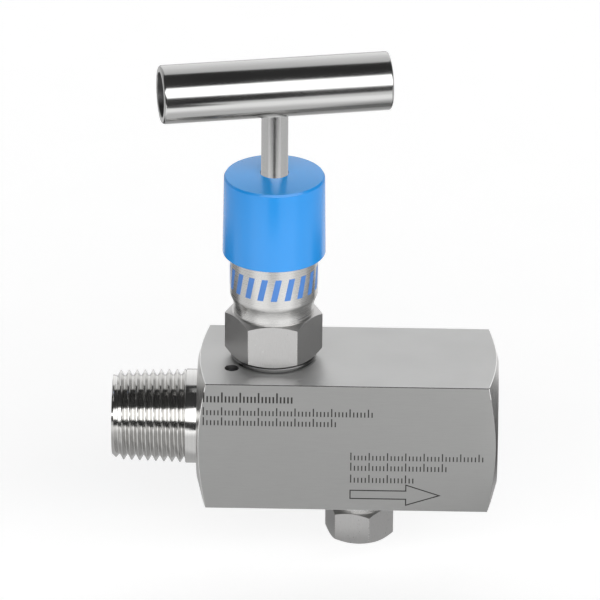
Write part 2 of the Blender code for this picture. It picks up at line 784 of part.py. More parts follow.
def build_handle(polished, steel, hard_steel):
    """The tubular T-bar, the core pressed inside it and the set screw that grips the stem."""
    half = HANDLE_LENGTH / 2
    arc = [math.radians(angle) for angle in (0, 30, 60, 90)]
    corner = HANDLE_RADIUS - HANDLE_END_ROUND
    high_end = [
        (corner + HANDLE_END_ROUND * math.cos(a), half - HANDLE_END_ROUND * (1 - math.sin(a)))
        for a in arc
    ]
    low_end = [(radius, -height) for radius, height in reversed(high_end)]
    bore = [(HANDLE_BORE_RADIUS, half), (HANDLE_BORE_RADIUS, -half)]
    bar = lathe("t_handle", high_end + bore + low_end, polished)
    core_radius = HANDLE_BORE_RADIUS - FIT
    half_core = HANDLE_CORE_LENGTH / 2
    core = lathe(
        "handle_core",
        [(0, -half_core), (core_radius, -half_core), (core_radius, half_core), (0, half_core)],
        steel,
        BORE_STEPS,
    )
    for piece in (bar, core):
        lay_along(piece, Vector((1, 0, 0)))
    stem_hole_top = STEM_TOP + GAP - HANDLE_Z
    for piece in (bar, core):
        hole = rod_between(
            "stem_hole",
            Vector((0, 0, -2 * HANDLE_RADIUS)),
            Vector((0, 0, stem_hole_top)),
            STEM_RADIUS + FIT,
        )
        combine(piece, hole, "DIFFERENCE")
        screw_hole = rod_between(
            "screw_hole",
            Vector((0, 0, 0)),
            Vector((0, 2 * HANDLE_RADIUS, 0)),
            SET_SCREW_RADIUS + FIT,
            SMALL_STEPS,
        )
        combine(piece, screw_hole, "DIFFERENCE")

    tip = STEM_RADIUS + GAP
    screw = lathe(
        "handle_set_screw",
        [
            (0, tip),
            (SET_SCREW_RADIUS - SET_SCREW_POINT, tip),
            (SET_SCREW_RADIUS, tip + SET_SCREW_POINT),
            (SET_SCREW_RADIUS, SET_SCREW_OUTER),
            (0, SET_SCREW_OUTER),
        ],
        hard_steel,
        SMALL_STEPS,
    )
    key_bottom = SET_SCREW_OUTER - SET_SCREW_KEY_DEPTH
    key = hexagon("screw_key", SET_SCREW_KEY_FLATS, key_bottom, SET_SCREW_OUTER + OVERLAP)
    combine(screw, key, "DIFFERENCE")
    lay_along(screw, Vector((0, 1, 0)))
    place = Matrix.Translation((0, 0, HANDLE_Z)) @ Matrix.Rotation(HANDLE_TURN, 4, "Z")
    for piece in (bar, core, screw):
        piece.matrix_world = place


def build_bleed_plug(steel, tape_material):
    """The hexagon plug in the bleed port and the sealing tape round its thread."""
    plug = chamfered_hexagon(
        "bleed_plug",
        PLUG_HEX_FLATS,
        PLUG_HEX_BOTTOM,
        PLUG_HEX_TOP,
        ("bottom", "top"),
        steel,
        PLUG_HEX_TURN,
    )
    neck = lathe(
        "plug_neck",
        [
            (0, PLUG_HEX_TOP - OVERLAP),
            (PLUG_NECK_RADIUS, PLUG_HEX_TOP - OVERLAP),
            (PLUG_NECK_RADIUS, PLUG_THREAD_BOTTOM + OVERLAP),
            (0, PLUG_THREAD_BOTTOM + OVERLAP),
        ],
    )
    combine(plug, neck, "UNION")
    thread = threaded_rod(
        "plug_thread",
        PLUG_THREAD_BOTTOM,
        PLUG_THREAD_TOP,
        BLEED_PITCH,
        plug_crest_radius(PLUG_THREAD_BOTTOM),
        PIPE_TAPER,
        chamfer=PLUG_THREAD_CHAMFER,
    )
    combine(plug, thread, "UNION")
    tape_bottom = BODY_BOTTOM + COUNTERSINK
    inner_bottom = plug_crest_radius(tape_bottom) + GAP / 2
    inner_top = plug_crest_radius(TAPE_TOP) + GAP / 2
    tape = lathe(
        "bleed_thread_tape",
        [
            (inner_bottom, tape_bottom),
            (inner_bottom + TAPE_THICKNESS, tape_bottom),
            (inner_top + TAPE_THICKNESS, TAPE_TOP),
            (inner_top, TAPE_TOP),
        ],
        tape_material,
    )
    for piece in (plug, tape):
        piece.location = (BLEED_X, 0, 0)


def plug_crest_radius(height):
    """Crest radius of the plug's pipe thread, which narrows upwards from the body's face."""
    return BLEED_RADIUS - PIPE_TAPER * (height - BODY_BOTTOM)


def raise_to_underside():
    """Puts every piece under one empty, so that the body's underside lies at height zero."""
    flow_axis = bpy.data.objects.new("flow_axis", None)
    bpy.context.scene.collection.objects.link(flow_axis)
    flow_axis.location = (0, 0, -BODY_BOTTOM)
    for piece in bpy.data.objects:
        if piece.type == "MESH":
            piece.parent = flow_axis


def main():
    clear_scene()
    ground_steel = make_material("ground stainless steel", (0.60, 0.60, 0.59), 0.42, 1.0)
    turned_steel = make_material("turned stainless steel", (0.66, 0.65, 0.63), 0.25, 1.0)
    polished_steel = make_material("polished stainless steel", (0.72, 0.72, 0.72), 0.10, 1.0)
    hard_steel = make_material("hardened steel", (0.35, 0.35, 0.36), 0.30, 1.0)
    blue_plastic = make_material("blue plastic", (0.03, 0.24, 0.80), 0.40, 0.0)
    white_ptfe = make_material("white PTFE", (0.86, 0.86, 0.84), 0.55, 0.0)
    build_body(ground_steel)
    build_lock_pin(hard_steel)
    build_bonnet(turned_steel)
    build_seal_ring(white_ptfe)
    build_packing(turned_steel, white_ptfe)
    build_gland_nuts(turned_steel)
    build_dust_cap(blue_plastic)
    build_stem(turned_steel)
    build_needle(turned_steel, hard_steel)
    build_handle(polished_steel, turned_steel, hard_steel)
    build_bleed_plug(turned_steel, white_ptfe)
    raise_to_underside()


main()
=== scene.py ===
"""Looks of the needle valve: fine surfaces, procedural materials, studio and camera.

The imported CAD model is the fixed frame, in metres with +Z up: the stem's axis is X = Y = 0, the
flow runs along +X at half the body's height, and the camera looks from the front, along +Y.
Each visible piece is rebuilt here at the size of its CAD node and stands in for that node. The
inner pieces stay as their CAD nodes and only get a material.
"""

import math

import bmesh
import bpy
from mathutils import Matrix, Vector


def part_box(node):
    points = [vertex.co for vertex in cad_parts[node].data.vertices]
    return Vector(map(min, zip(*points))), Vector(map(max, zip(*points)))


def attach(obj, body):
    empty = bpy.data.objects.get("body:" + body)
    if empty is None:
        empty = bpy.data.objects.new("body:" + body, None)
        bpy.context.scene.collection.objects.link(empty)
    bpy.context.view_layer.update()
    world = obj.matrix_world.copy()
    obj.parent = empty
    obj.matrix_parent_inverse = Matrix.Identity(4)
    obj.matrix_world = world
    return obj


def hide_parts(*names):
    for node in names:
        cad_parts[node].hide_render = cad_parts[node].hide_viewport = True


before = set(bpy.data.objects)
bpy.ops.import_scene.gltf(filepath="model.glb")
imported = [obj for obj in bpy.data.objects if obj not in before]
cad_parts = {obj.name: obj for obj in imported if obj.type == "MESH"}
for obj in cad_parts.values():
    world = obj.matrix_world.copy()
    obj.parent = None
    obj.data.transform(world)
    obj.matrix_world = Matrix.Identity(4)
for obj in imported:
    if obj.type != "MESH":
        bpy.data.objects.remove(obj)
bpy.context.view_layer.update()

# Fineness of the surfaces.
ROUND_STEPS = 192
BORE_STEPS = 96
SMALL_STEPS = 64
THREAD_STEPS = 120
ARC_STEPS = 5
SHARP_ANGLE = math.radians(28)

# REACH is how far one solid goes into or past another before they are joined or cut, GAP the room
# between neighbours and FIT the room round a piece in its bore. The others ease edges.
REACH = 0.0005
GAP = 0.0002
FIT = 0.00015
COUNTERSINK = 0.0006
FINE_ROUND = 0.0001
EDGE_ROUND = 0.0003
CORNER_ROUND = 0.0004

# The frame's boxes give the outer sizes.
BODY_LOW, BODY_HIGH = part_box("valve_body")
BONNET_LOW, BONNET_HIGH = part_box("bonnet")
CAP_LOW, CAP_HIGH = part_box("dust_cap")
STEM_LOW, STEM_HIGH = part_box("stem")
PLUG_LOW, PLUG_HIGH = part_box("bleed_plug")
PIN_LOW, PIN_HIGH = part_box("bonnet_lock_pin")
BODY_WIDTH = BODY_HIGH.y - BODY_LOW.y
FLOW_Z = BODY_WIDTH / 2
BODY_TOP = BODY_WIDTH
FLOW_AXIS = Vector((0, 0, FLOW_Z))
X_AXIS = Vector((1, 0, 0))

# Body: the square bar, its turned ends and the male inlet end. Sizes in metres.
BAR_LENGTH = 0.0677
BAR_END_X = BODY_HIGH.x
BAR_START_X = BAR_END_X - BAR_LENGTH
EDGE_BREAK = 0.00013
END_EDGE_ROUND = 0.00011
# Below this depth under the top, the outlet end's edges lose their painted highlight.
OUTLET_HIGHLIGHT_DEPTH = 0.0025
END_FLAT_RADIUS = 0.0137
END_CHAMFER_ANGLE = math.radians(15)
PIPE_TAPER = 1 / 32
THREAD_DEPTH_SHARE = 0.68
THREAD_CREST_SHARE = 0.10
INLET_PITCH = 0.0254 / 14
INLET_RADIUS = 0.0106
INLET_LENGTH = 0.0168
INLET_NECK_RADIUS = 0.01067
INLET_NECK_ROUND = 0.00015
INLET_BORE_RADIUS = 0.00575
INLET_BORE_CHAMFER = 0.0005
INLET_LEAD = 0.00095
LEAD_SLOPE = math.tan(math.radians(31))
OUTLET_RADIUS = 0.01067
OUTLET_DEPTH = 0.018
OUTLET_COUNTERSINK = 0.0008
OUTLET_DRILL_STEP = 0.0010
OUTLET_DRILL_LENGTH = 0.0015
OUTLET_DRILL_POINT = 0.0030

# Flow passages and the bleed port, from the stem and flow axes.
SEAT_Z = -0.0010
ORIFICE_RADIUS = 0.0023
ORIFICE_BOTTOM = -0.0079
ORIFICE_DRILL_POINT = 0.0006
CHAMBER_RADIUS = 0.0052
SEAL_LEDGE_Z = 0.0060
BONNET_HOLE_RADIUS = 0.0082
INLET_BORE_END_X = -0.0150
INLET_DRILL_POINT = 0.0025
INLET_PASSAGE_RADIUS = 0.0024
INLET_PASSAGE = (Vector((-0.0165, 0, -0.0018)), Vector((0, 0, -0.0070)))
OUTLET_PASSAGE_RADIUS = 0.0026
OUTLET_PASSAGE = (Vector((0.0015, 0, 0.0026)), Vector((0.0315, 0, 0)))
BLEED_RADIUS = 0.00678
BLEED_ROOM = 0.0004
BLEED_PITCH = 0.0254 / 18
BLEED_PORT_TOP = -0.0045
BLEED_DRILL_POINT = 0.0012
BLEED_HOLE_RADIUS = 0.0016
BLEED_HOLE_TOP = 0.0008

# Spring pin and its hole.
LOCK_HOLE_DEPTH = 0.0060
LOCK_DRILL_POINT = 0.0008
LOCK_COUNTERSINK = 0.00008
LOCK_OVERSHOOT = 0.00012
PIN_WALL = 0.00055
PIN_SLOT_HALF = 0.00028
PIN_LOW_ROUND = 0.00012
PIN_TOP_ROUND = 0.00015
PIN_INNER_ROUND = 0.00008

# Material slots of the body, of the two pieces with a hexagon, of the cap and of the T-bar.
# Slots: the top face has a lighter copy of the ground steel (painted light from above), the edges a
# lighter colour (painted highlight) and the deep holes a dark one (painted shade).
GROUND, END_TURNED, ETCHED, THREADS, BORES, EDGES, SHADED_HOLES, LIT_TOP_FACE = range(8)
# The collar slot's dark colour is painted shade under the hexagon.
TURNED, MILLED, SHADED_COLLAR = range(3)
# The crown slot's lighter blue is painted light on the cap's top.
WALL, LIT_CROWN = range(2)
# The T-bar's bore slot takes the dark hole steel: painted shade.
POLISHED, BORE = range(2)

# Marks etched in the front face, as (left, right, lowest, highest, width of a tick) from the stem
# and flow axes.
ETCH_DEPTH = 0.00012
TICK_ROWS = (
    (-0.0154, 0.0059, 0.0110, 0.0135, 0.00038),
    (-0.0154, 0.0238, 0.0078, 0.0098, 0.00028),
    (-0.0154, 0.0156, 0.0053, 0.0073, 0.00028),
    (0.0177, 0.0483, -0.0029, -0.0010, 0.00026),
    (0.0177, 0.0401, -0.0055, -0.0035, 0.00026),
    (0.0177, 0.0325, -0.0085, -0.0065, 0.00026),
)
TICK_PITCH = 0.00082
TICKS_IN_GROUP = 5
SHORT_TICK_SHARE = 0.62
ARROW_LEFT = 0.0176
ARROW_HEAD_X = 0.0301
ARROW_TIP_X = 0.0381
ARROW_Z = -0.01145
ARROW_TAIL_HALF = 0.00115
ARROW_HEAD_HALF = 0.0027
ARROW_LINE = 0.00025

# Bonnet, heights from the flow axis.
BONNET_THREAD_RADIUS = 0.0080
BONNET_PITCH = 0.0015
BONNET_RELIEF_RADIUS = 0.0074
BONNET_RELIEF_DEPTH = 0.0020
BONNET_TOP_CHAMFER = 0.0010
COLLAR_RADIUS = 0.0096
COLLAR_SHOULDER = 0.0006
HEX_FLATS = 0.01905
HEX_EDGE_BREAK = 0.00008
HEX_CHAMFER_INSET = 0.00013
HEX_CHAMFER_ANGLE = math.radians(30)
HEX_BOTTOM = 0.01675
HEX_TOP = 0.0269
NECK_RADIUS = 0.0090
NECK_TOP = 0.0293
NECK_ROUND = 0.0065
BAND_RADIUS = 0.00985
BAND_BOTTOM = 0.0311
BAND_STEP = 0.0001
BONNET_BORE_RADIUS = 0.00515
BACK_SEAT_Z = 0.0244
BACK_SEAT_RISE = 0.0012
STEM_BORE_TOP = 0.0290
PACKING_RADIUS = 0.0060
GLAND_BORE_RADIUS = 0.0075
GLAND_BORE_BOTTOM = 0.0420
MARK_LOW = 0.0334
MARK_HIGH = 0.0386
MARK_COUNT = 20
MARK_WIDTH = 0.0014
MARK_SLANT = 0.0011
MARK_HEIGHT = 0.00003

# Dust cap: its crown, rim, roof and the amount by which its wall is drawn in.
CAP_RIM_DROP = 0.0004
CAP_CROWN = 0.0006
CAP_RIM_HEIGHT = 0.0005
CAP_RIM_WIDTH = 0.0003
CAP_ROOF = 0.0020
CAP_DRAFT = 0.00026

# Stem, T-bar and set screw.
STEM_RADIUS = 0.0030
STEM_THREAD_TOP = 0.0190
STEM_THREAD_RADIUS = 0.0050
STEM_PITCH = 0.0010
STEM_RELIEF_RADIUS = 0.0043
SOCKET_RADIUS = 0.0026
SOCKET_TOP = 0.0140
SOCKET_DRILL_POINT = 0.0008
CLIP_GROOVE_BOTTOM = 0.01045
CLIP_GROOVE_TOP = 0.01155
CLIP_GROOVE_RADIUS = 0.0030
HANDLE_Z = 0.0811
HANDLE_LENGTH = 0.0513
HANDLE_RADIUS = 0.00655
HANDLE_BORE_RADIUS = 0.0050
HANDLE_ROUND = 0.0006
HANDLE_TURN = math.radians(11.1)
HANDLE_CORE_HALF = 0.0075
SCREW_RADIUS = 0.0020
SCREW_INNER = 0.0032
SCREW_OUTER = 0.0061
SCREW_POINT = 0.0006
SCREW_ROUND = 0.0002
SCREW_KEY_FLATS = 0.0020
SCREW_KEY_DEPTH = 0.0016

# Bleed plug. The floor lies PLUG_ROOM below it, so that it stays clear of the plug's lowest pose.
PLUG_X = (PLUG_LOW.x + PLUG_HIGH.x) / 2
PLUG_THREAD_TOP = -0.0062
PLUG_THREAD_BOTTOM = -0.0190
PLUG_NECK_RADIUS = 0.0062
PLUG_HEX_TOP = -0.0209
PLUG_HEX_BOTTOM = -0.0284
PLUG_HEX_FLATS = 0.0138
PLUG_TURN = math.radians(17)
PLUG_LEAD = 0.0006
PLUG_ROOM = 0.0090


# ---- shader nodes


def fill_inputs(tree, target, inputs):
    """Fills a node's inputs, keyed by name or number, with values or other nodes' outputs."""
    for key, value in inputs.items():
        if isinstance(value, bpy.types.NodeSocket):
            tree.links.new(value, target.inputs[key])
        else:
            target.inputs[key].default_value = value


def node(tree, kind, inputs=None, **settings):
    made = tree.nodes.new(kind)
    for key, value in settings.items():
        setattr(made, key, value)
    fill_inputs(tree, made, inputs or {})
    return made


def math_node(tree, operation, first, second=0.0):
    return node(tree, "ShaderNodeMath", {0: first, 1: second}, operation=operation).outputs[0]


def ramp(tree, value, low, high, from_low=0.0, from_high=1.0, kind="LINEAR"):
    """Maps a value from one range to another, clamped."""
    inputs = {"Value": value, "From Min": from_low, "From Max": from_high}
    inputs.update({"To Min": low, "To Max": high})
    return node(tree, "ShaderNodeMapRange", inputs, interpolation_type=kind).outputs["Result"]


def new_material(name):
    """An empty node material with a Principled surface; returns the material, tree and surface."""
    material = bpy.data.materials.new(name)
    material.use_nodes = True
    tree = material.node_tree
    return material, tree, tree.nodes["Principled BSDF"]


def stretched_noise(tree, stretch, detail=3.0, vector=None):
    """Noise in object space, with its frequency along each axis given in cycles per metre."""
    if vector is None:
        vector = node(tree, "ShaderNodeTexCoord").outputs["Object"]
    scaled = node(tree, "ShaderNodeVectorMath", {0: vector, 1: stretch}, operation="MULTIPLY")
    inputs = {"Vector": scaled.outputs[0], "Scale": 1.0, "Detail": detail, "Roughness": 0.55}
    return node(tree, "ShaderNodeTexNoise", inputs).outputs["Fac"]


def axial_coordinates(tree, axis):
    """(distance from the axis, place along it, 0) in object space, for lines of turning."""
    place = node(tree, "ShaderNodeTexCoord").outputs["Object"]
    parts = node(tree, "ShaderNodeSeparateXYZ", {0: place}).outputs
    centre = {"X": (None, 0.0, FLOW_Z), "Z": (0.0, 0.0, None)}[axis]
    squares = []
    along = None
    for part, middle in zip(parts, centre):
        if middle is None:
            along = part
        else:
            offset = math_node(tree, "SUBTRACT", part, middle)
            squares.append(math_node(tree, "MULTIPLY", offset, offset))
    radius = math_node(tree, "SQRT", math_node(tree, "ADD", squares[0], squares[1]))
    return node(tree, "ShaderNodeCombineXYZ", {0: radius, 1: along}).outputs[0]


def steel(
    name, colour, roughness, pattern, anisotropy=0.0, tangent=None, lines=0.00001, metallic=1.0
):
    """Bare stainless steel. The pattern is a function that returns the noise of its tool marks."""
    material, tree, surface = new_material(name)
    marks = pattern(tree)
    cloud = stretched_noise(tree, (90, 90, 90), detail=4.0)
    spread = ramp(tree, marks, 0.8 * roughness, 1.2 * roughness, 0.3, 0.7)
    cloudy = ramp(tree, cloud, 0.94, 1.06, 0.3, 0.7)
    rough = math_node(tree, "MULTIPLY", spread, cloudy)
    shade = ramp(tree, marks, 0.94, 1.04, 0.3, 0.7)
    tint = node(tree, "ShaderNodeVectorMath", {0: colour, "Scale": shade}, operation="SCALE")
    bump = node(tree, "ShaderNodeBump", {"Strength": 1.0, "Distance": lines, "Height": marks})
    inputs = {
        "Base Color": tint.outputs[0],
        "Metallic": metallic,
        "Roughness": rough,
        "Normal": bump.outputs[0],
        "Anisotropic": anisotropy,
    }
    if tangent:
        inputs["Tangent"] = tangent(tree)
        inputs["Anisotropic Rotation"] = 0.25
    fill_inputs(tree, surface, inputs)
    return material


def tangent_along_x(tree):
    """The direction of a straight grain along the object's X axis."""
    along = node(tree, "ShaderNodeCombineXYZ", {0: 1.0}).outputs[0]
    settings = {"vector_type": "VECTOR", "convert_from": "OBJECT", "convert_to": "WORLD"}
    return node(tree, "ShaderNodeVectorTransform", {0: along}, **settings).outputs[0]


def tangent_round(axis):
    """A source for the direction of the lines of turning round an axis."""

    def tangent(tree):
        return node(tree, "ShaderNodeTangent", direction_type="RADIAL", axis=axis).outputs[0]

    return tangent


def grain(stretch, detail=3.0):
    """A pattern of noise that is stretched along the object's axes."""

    def marks(tree):
        return stretched_noise(tree, stretch, detail)

    return marks


def turning_lines(axis, fineness, detail=3.0):
    """A pattern of fine lines round an axis."""

    def marks(tree):
        place = axial_coordinates(tree, axis)
        return stretched_noise(tree, (fineness, fineness, 1), detail, place)

    return marks


GRINDING = grain((260, 14000, 14000))


def ground_steel():
    colour = (0.375, 0.375, 0.37)
    return steel("ground_steel", colour, 0.41, GRINDING, 0.45, tangent_along_x, 0.000002)


def lit_top_ground_steel():
    """The top face: a little rougher than the sides, with a lighter, partly diffuse colour that is
    painted light from above.
    """
    return steel(
        "lit_top_ground_steel", (0.58, 0.58, 0.575), 0.46, GRINDING, lines=0.000002, metallic=0.75
    )


def turned_steel(name, axis, roughness=0.27, anisotropy=0.6):
    lines = turning_lines(axis, 6500)
    colour = (0.66, 0.655, 0.645)
    return steel(name, colour, roughness, lines, anisotropy, tangent_round(axis), 0.000003)


def milled_steel():
    return steel("milled_steel", (0.55, 0.545, 0.54), 0.34, grain((7000, 7000, 1200)), lines=0.000001)


def edge_highlight_steel():
    """The broken edges, smoother than the faces they join, with a lighter colour that is a painted
    highlight.
    """
    return steel("edge_highlight_steel", (0.88, 0.88, 0.87), 0.20, grain((1500, 1500, 1500)), lines=0.000001)


# The collar is coloured dark as painted shade under the hexagon.
def collar_shade_steel():
    return steel("collar_shade_steel", (0.17, 0.17, 0.17), 0.14, turning_lines("Z", 3000), lines=0.000001)


def hole_shade_steel():
    """The walls of holes, dark as painted shade inside them."""
    return steel("hole_shade_steel", (0.16, 0.16, 0.16), 0.5, grain((1500, 1500, 4000)), lines=0.000004)


def thread_steel():
    lines = turning_lines("X", 4000, detail=2.0)
    return steel("thread_steel", (0.68, 0.675, 0.665), 0.12, lines, lines=0.000002)


def polished_steel():
    colour = (0.525, 0.525, 0.52)
    waves = grain((45, 420, 420), detail=4.0)
    return steel("polished_steel", colour, 0.15, waves, 0.3, tangent_along_x, 0.000012)


def shaft_steel():
    lines = turning_lines("Z", 3000)
    return steel("shaft_steel", (0.66, 0.66, 0.655), 0.21, lines, 0.4, tangent_round("Z"), 0.000002)


def hardened_steel():
    speckle = grain((1800, 1800, 1800), detail=4.0)
    return steel("hardened_steel", (0.20, 0.20, 0.21), 0.30, speckle, lines=0.000004)


def etched_steel():
    speckle = grain((5000, 5000, 5000), detail=4.0)
    return steel("etched_steel", (0.075, 0.072, 0.070), 0.60, speckle, lines=0.000015)


def moulded(name, colour, roughness, texture=0.000006, bleed=0.0):
    """Moulded plastic: an even colour with slow drifts, a fine skin texture and a soft sheen."""
    material, tree, surface = new_material(name)
    skin = stretched_noise(tree, (2400, 2400, 2400), detail=4.0)
    drift = stretched_noise(tree, (45, 45, 30), detail=2.0)
    shade = ramp(tree, drift, 0.96, 1.04, 0.3, 0.7)
    tint = node(tree, "ShaderNodeVectorMath", {0: colour, "Scale": shade}, operation="SCALE")
    bump = node(tree, "ShaderNodeBump", {"Strength": 1.0, "Distance": texture, "Height": skin})
    inputs = {
        "Base Color": tint.outputs[0],
        "Roughness": ramp(tree, skin, 0.95 * roughness, 1.05 * roughness, 0.3, 0.7),
        "Normal": bump.outputs[0],
        "IOR": 1.6,
        "Subsurface Weight": bleed,
        "Subsurface Radius": (0.0004, 0.0006, 0.0012),
    }
    fill_inputs(tree, surface, inputs)
    return material


# ---- mesh building


def eased(outline):
    """Replaces each corner given as (radius, height, round) by an arc with that round."""
    points = []
    for index, corner in enumerate(outline):
        here = Vector(corner[:2])
        if len(corner) == 2:
            points.append(here)
            continue
        before = (Vector(outline[index - 1][:2]) - here).normalized()
        after = (Vector(outline[(index + 1) % len(outline)][:2]) - here).normalized()
        half = before.angle(after) / 2
        centre = here + (before + after).normalized() * (corner[2] / math.sin(half))
        first = here + before * (corner[2] / math.tan(half)) - centre
        last = here + after * (corner[2] / math.tan(half)) - centre
        sweep = math.atan2(first.x * last.y - first.y * last.x, first.dot(last))
        for step in range(ARC_STEPS + 1):
            points.append(centre + Matrix.Rotation(sweep * step / ARC_STEPS, 2) @ first)
    return points


def stepped(*sections, low_tip=0.0, high_tip=0.0):
    """The outline of round steps, each (radius, bottom, top), with the tips that a drill leaves."""
    points = [(radius, height) for radius, *heights in sections for height in heights]
    return [(0, points[0][1] - low_tip), *points, (0, points[-1][1] + high_tip)]


def add_piece(name, bm, slot=0):
    """Tidies the mesh in bm and links it as an object, with every face in one material slot."""
    bmesh.ops.remove_doubles(bm, verts=bm.verts, dist=1e-8)
    bmesh.ops.dissolve_degenerate(bm, edges=bm.edges, dist=1e-9)
    bmesh.ops.recalc_face_normals(bm, faces=bm.faces)
    for face in bm.faces:
        face.material_index = slot
    mesh = bpy.data.meshes.new(name)
    bm.to_mesh(mesh)
    bm.free()
    piece = bpy.data.objects.new(name, mesh)
    bpy.context.scene.collection.objects.link(piece)
    shade(piece)
    return piece


def shade(piece):
    piece.data.shade_smooth()
    piece.data.set_sharp_from_angle(angle=SHARP_ANGLE)


def turned(name, outline, steps=ROUND_STEPS, slot=0):
    """A solid of revolution about Z from a closed outline of (radius, height[, round]) corners."""
    bm = bmesh.new()
    verts = [bm.verts.new((max(point.x, 0.0), 0, point.y)) for point in eased(outline)]
    edges = [bm.edges.new(pair) for pair in zip(verts, verts[1:] + verts[:1])]
    for edge in [e for e in edges if all(v.co.x < 1e-9 for v in e.verts)]:
        edges.remove(edge)
        bm.edges.remove(edge)
    round_z = {"axis": (0, 0, 1), "angle": 2 * math.pi}
    bmesh.ops.spin(bm, geom=verts + edges, **round_z, steps=steps, use_merge=True)
    return add_piece(name, bm, slot)


def prism(name, corners, bottom, top, slot=0):
    """A prism over a polygon of (x, y) corners."""
    bm = bmesh.new()
    bm.faces.new([bm.verts.new((x, y, bottom)) for x, y in corners])
    made = bmesh.ops.extrude_face_region(bm, geom=list(bm.faces))
    raised = [item for item in made["geom"] if isinstance(item, bmesh.types.BMVert)]
    bmesh.ops.translate(bm, verts=raised, vec=(0, 0, top - bottom))
    return add_piece(name, bm, slot)


def hexagon_corners(flats, turn=0.0):
    radius = flats / 2 / math.cos(math.pi / 6)
    angles = [turn + math.pi / 3 * n for n in range(6)]
    return [(radius * math.cos(a), radius * math.sin(a)) for a in angles]


def helix(name, length, pitch, crest_radius, taper, lead=0.0, slot=0):
    """A solid with a right-hand thread about Z, from height 0 to length.

    crest_radius is at height 0. The flanks stand at 60 degrees to each other between narrow
    crests and roots, and a lead cone narrows the top end by the given amount.
    """
    depth = THREAD_DEPTH_SHARE * pitch
    flat = THREAD_CREST_SHARE / 2
    stops = (-flat, 0.6 * flat, flat, 0.5 - flat, 0.5, 0.5 + flat)
    turns = math.ceil(length / pitch)
    stations = [n + stop for n in range(-1, turns + 2) for stop in stops]

    def radius_at(height, phase):
        from_crest = abs((phase + 0.5) % 1.0 - 0.5)
        share = min(max((from_crest - flat) / (0.5 - 2 * flat), 0.0), 1.0)
        crest = crest_radius - taper * height
        radius = crest - depth * share
        if lead:
            end_radius = crest_radius - taper * length - lead
            radius = min(radius, end_radius + (length - height) * LEAD_SLOPE)
        return radius

    bm = bmesh.new()
    columns = []
    for step in range(THREAD_STEPS + 1):
        turn = step / THREAD_STEPS
        angle = 2 * math.pi * turn
        column = []
        for station in stations:
            height = min(max((station + turn) * pitch, 0.0), length)
            radius = radius_at(height, height / pitch - turn)
            column.append(bm.verts.new((radius * math.cos(angle), radius * math.sin(angle), height)))
        columns.append(column)
    for left, right in zip(columns, columns[1:]):
        for low in range(len(stations) - 1):
            bm.faces.new((left[low], right[low], right[low + 1], left[low + 1]))
    bmesh.ops.remove_doubles(bm, verts=bm.verts, dist=1e-8)
    bmesh.ops.dissolve_degenerate(bm, edges=bm.edges, dist=1e-9)
    open_edges = [edge for edge in bm.edges if edge.is_boundary]
    bmesh.ops.holes_fill(bm, edges=open_edges, sides=0)
    return add_piece(name, bm, slot)


def combine(target, other, operation):
    """Applies a Boolean of other to target and removes other."""
    modifier = target.modifiers.new("combine", "BOOLEAN")
    modifier.operation = operation
    modifier.object = other
    bpy.context.view_layer.objects.active = target
    bpy.ops.object.modifier_apply(modifier=modifier.name)
    bpy.data.objects.remove(other)
    shade(target)


def shift(piece, x, y, z):
    piece.data.transform(Matrix.Translation((x, y, z)))
    return piece


def place(piece, direction, at=Vector((0, 0, 0))):
    """Turns a piece built about Z so that its axis points along direction, and moves it."""
    turn = direction.to_track_quat("Z", "Y").to_matrix().to_4x4()
    piece.data.transform(Matrix.Translation(at) @ turn)
    return piece


def add_thread(piece, bottom, top, pitch, crest_radius, taper=0.0, lead=0.0):
    """Joins a threaded length about Z to a piece."""
    thread = helix("thread", top - bottom, pitch, crest_radius, taper, lead)
    combine(piece, shift(thread, 0, 0, bottom), "UNION")


def rod(name, start, end, radius, slot=0):
    """A plain round cutter from one point to another."""
    along = end - start
    outline = stepped((radius, 0, along.length))
    return place(turned(name, outline, BORE_STEPS, slot), along, start)


def finish_faces(piece, slot, chosen):
    """Moves the faces for which chosen(centre, normal) holds to another material slot."""
    for face in piece.data.polygons:
        if chosen(face.center, face.normal):
            face.material_index = slot


def crease_between_finishes(piece):
    """Keeps a hard edge wherever two finishes meet, so that flat faces stay flat in the light."""
    bm = bmesh.new()
    bm.from_mesh(piece.data)
    for edge in bm.edges:
        if len({face.material_index for face in edge.link_faces}) > 1:
            edge.smooth = False
    bm.to_mesh(piece.data)
    bm.free()


def give_materials(piece, materials):
    for material in materials:
        piece.data.materials.append(material)


def stands_for(piece, materials, node_name, body, slot_name):
    """Gives a piece its materials and puts it in the place of its CAD node."""
    give_materials(piece, materials)
    crease_between_finishes(piece)
    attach(piece, body)
    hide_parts(node_name)


# ---- the body


def bar_with_turned_ends():
    """The square bar, with its edges eased and both ends turned to a shallow cone."""
    bm = bmesh.new()
    middle = Vector((BAR_START_X + BAR_LENGTH / 2, 0, FLOW_Z))
    size = (BAR_LENGTH, BODY_WIDTH, BODY_WIDTH, 1)
    bmesh.ops.create_cube(bm, size=1, matrix=Matrix.Translation(middle) @ Matrix.Diagonal(size))
    long_edges = [e for e in bm.edges if abs(e.verts[0].co.x - e.verts[1].co.x) > BAR_LENGTH / 2]
    bmesh.ops.bevel(bm, geom=long_edges, offset=EDGE_BREAK, segments=1, affect="EDGES")
    bar = add_piece("valve_body_surface", bm)
    # The long edge breaks get the edge steel, whose lighter colour is a painted highlight.
    finish_faces(bar, EDGES, lambda centre, normal: max(map(abs, normal)) < 0.999)
    corner = 0.75 * BODY_WIDTH
    inset = (corner - END_FLAT_RADIUS) * math.tan(END_CHAMFER_ANGLE)
    outline = stepped(
        (END_FLAT_RADIUS, BAR_START_X - REACH, BAR_START_X),
        (corner, BAR_START_X + inset, BAR_END_X - inset),
        (END_FLAT_RADIUS, BAR_END_X, BAR_END_X + REACH),
    )
    ends = turned("turned_ends", outline, slot=END_TURNED)
    combine(bar, place(ends, X_AXIS, FLOW_AXIS), "INTERSECT")
    # The top face gets the lighter copy of the ground steel: painted light from above.
    finish_faces(bar, LIT_TOP_FACE, lambda centre, normal: normal.z > 0.999)
    return bar


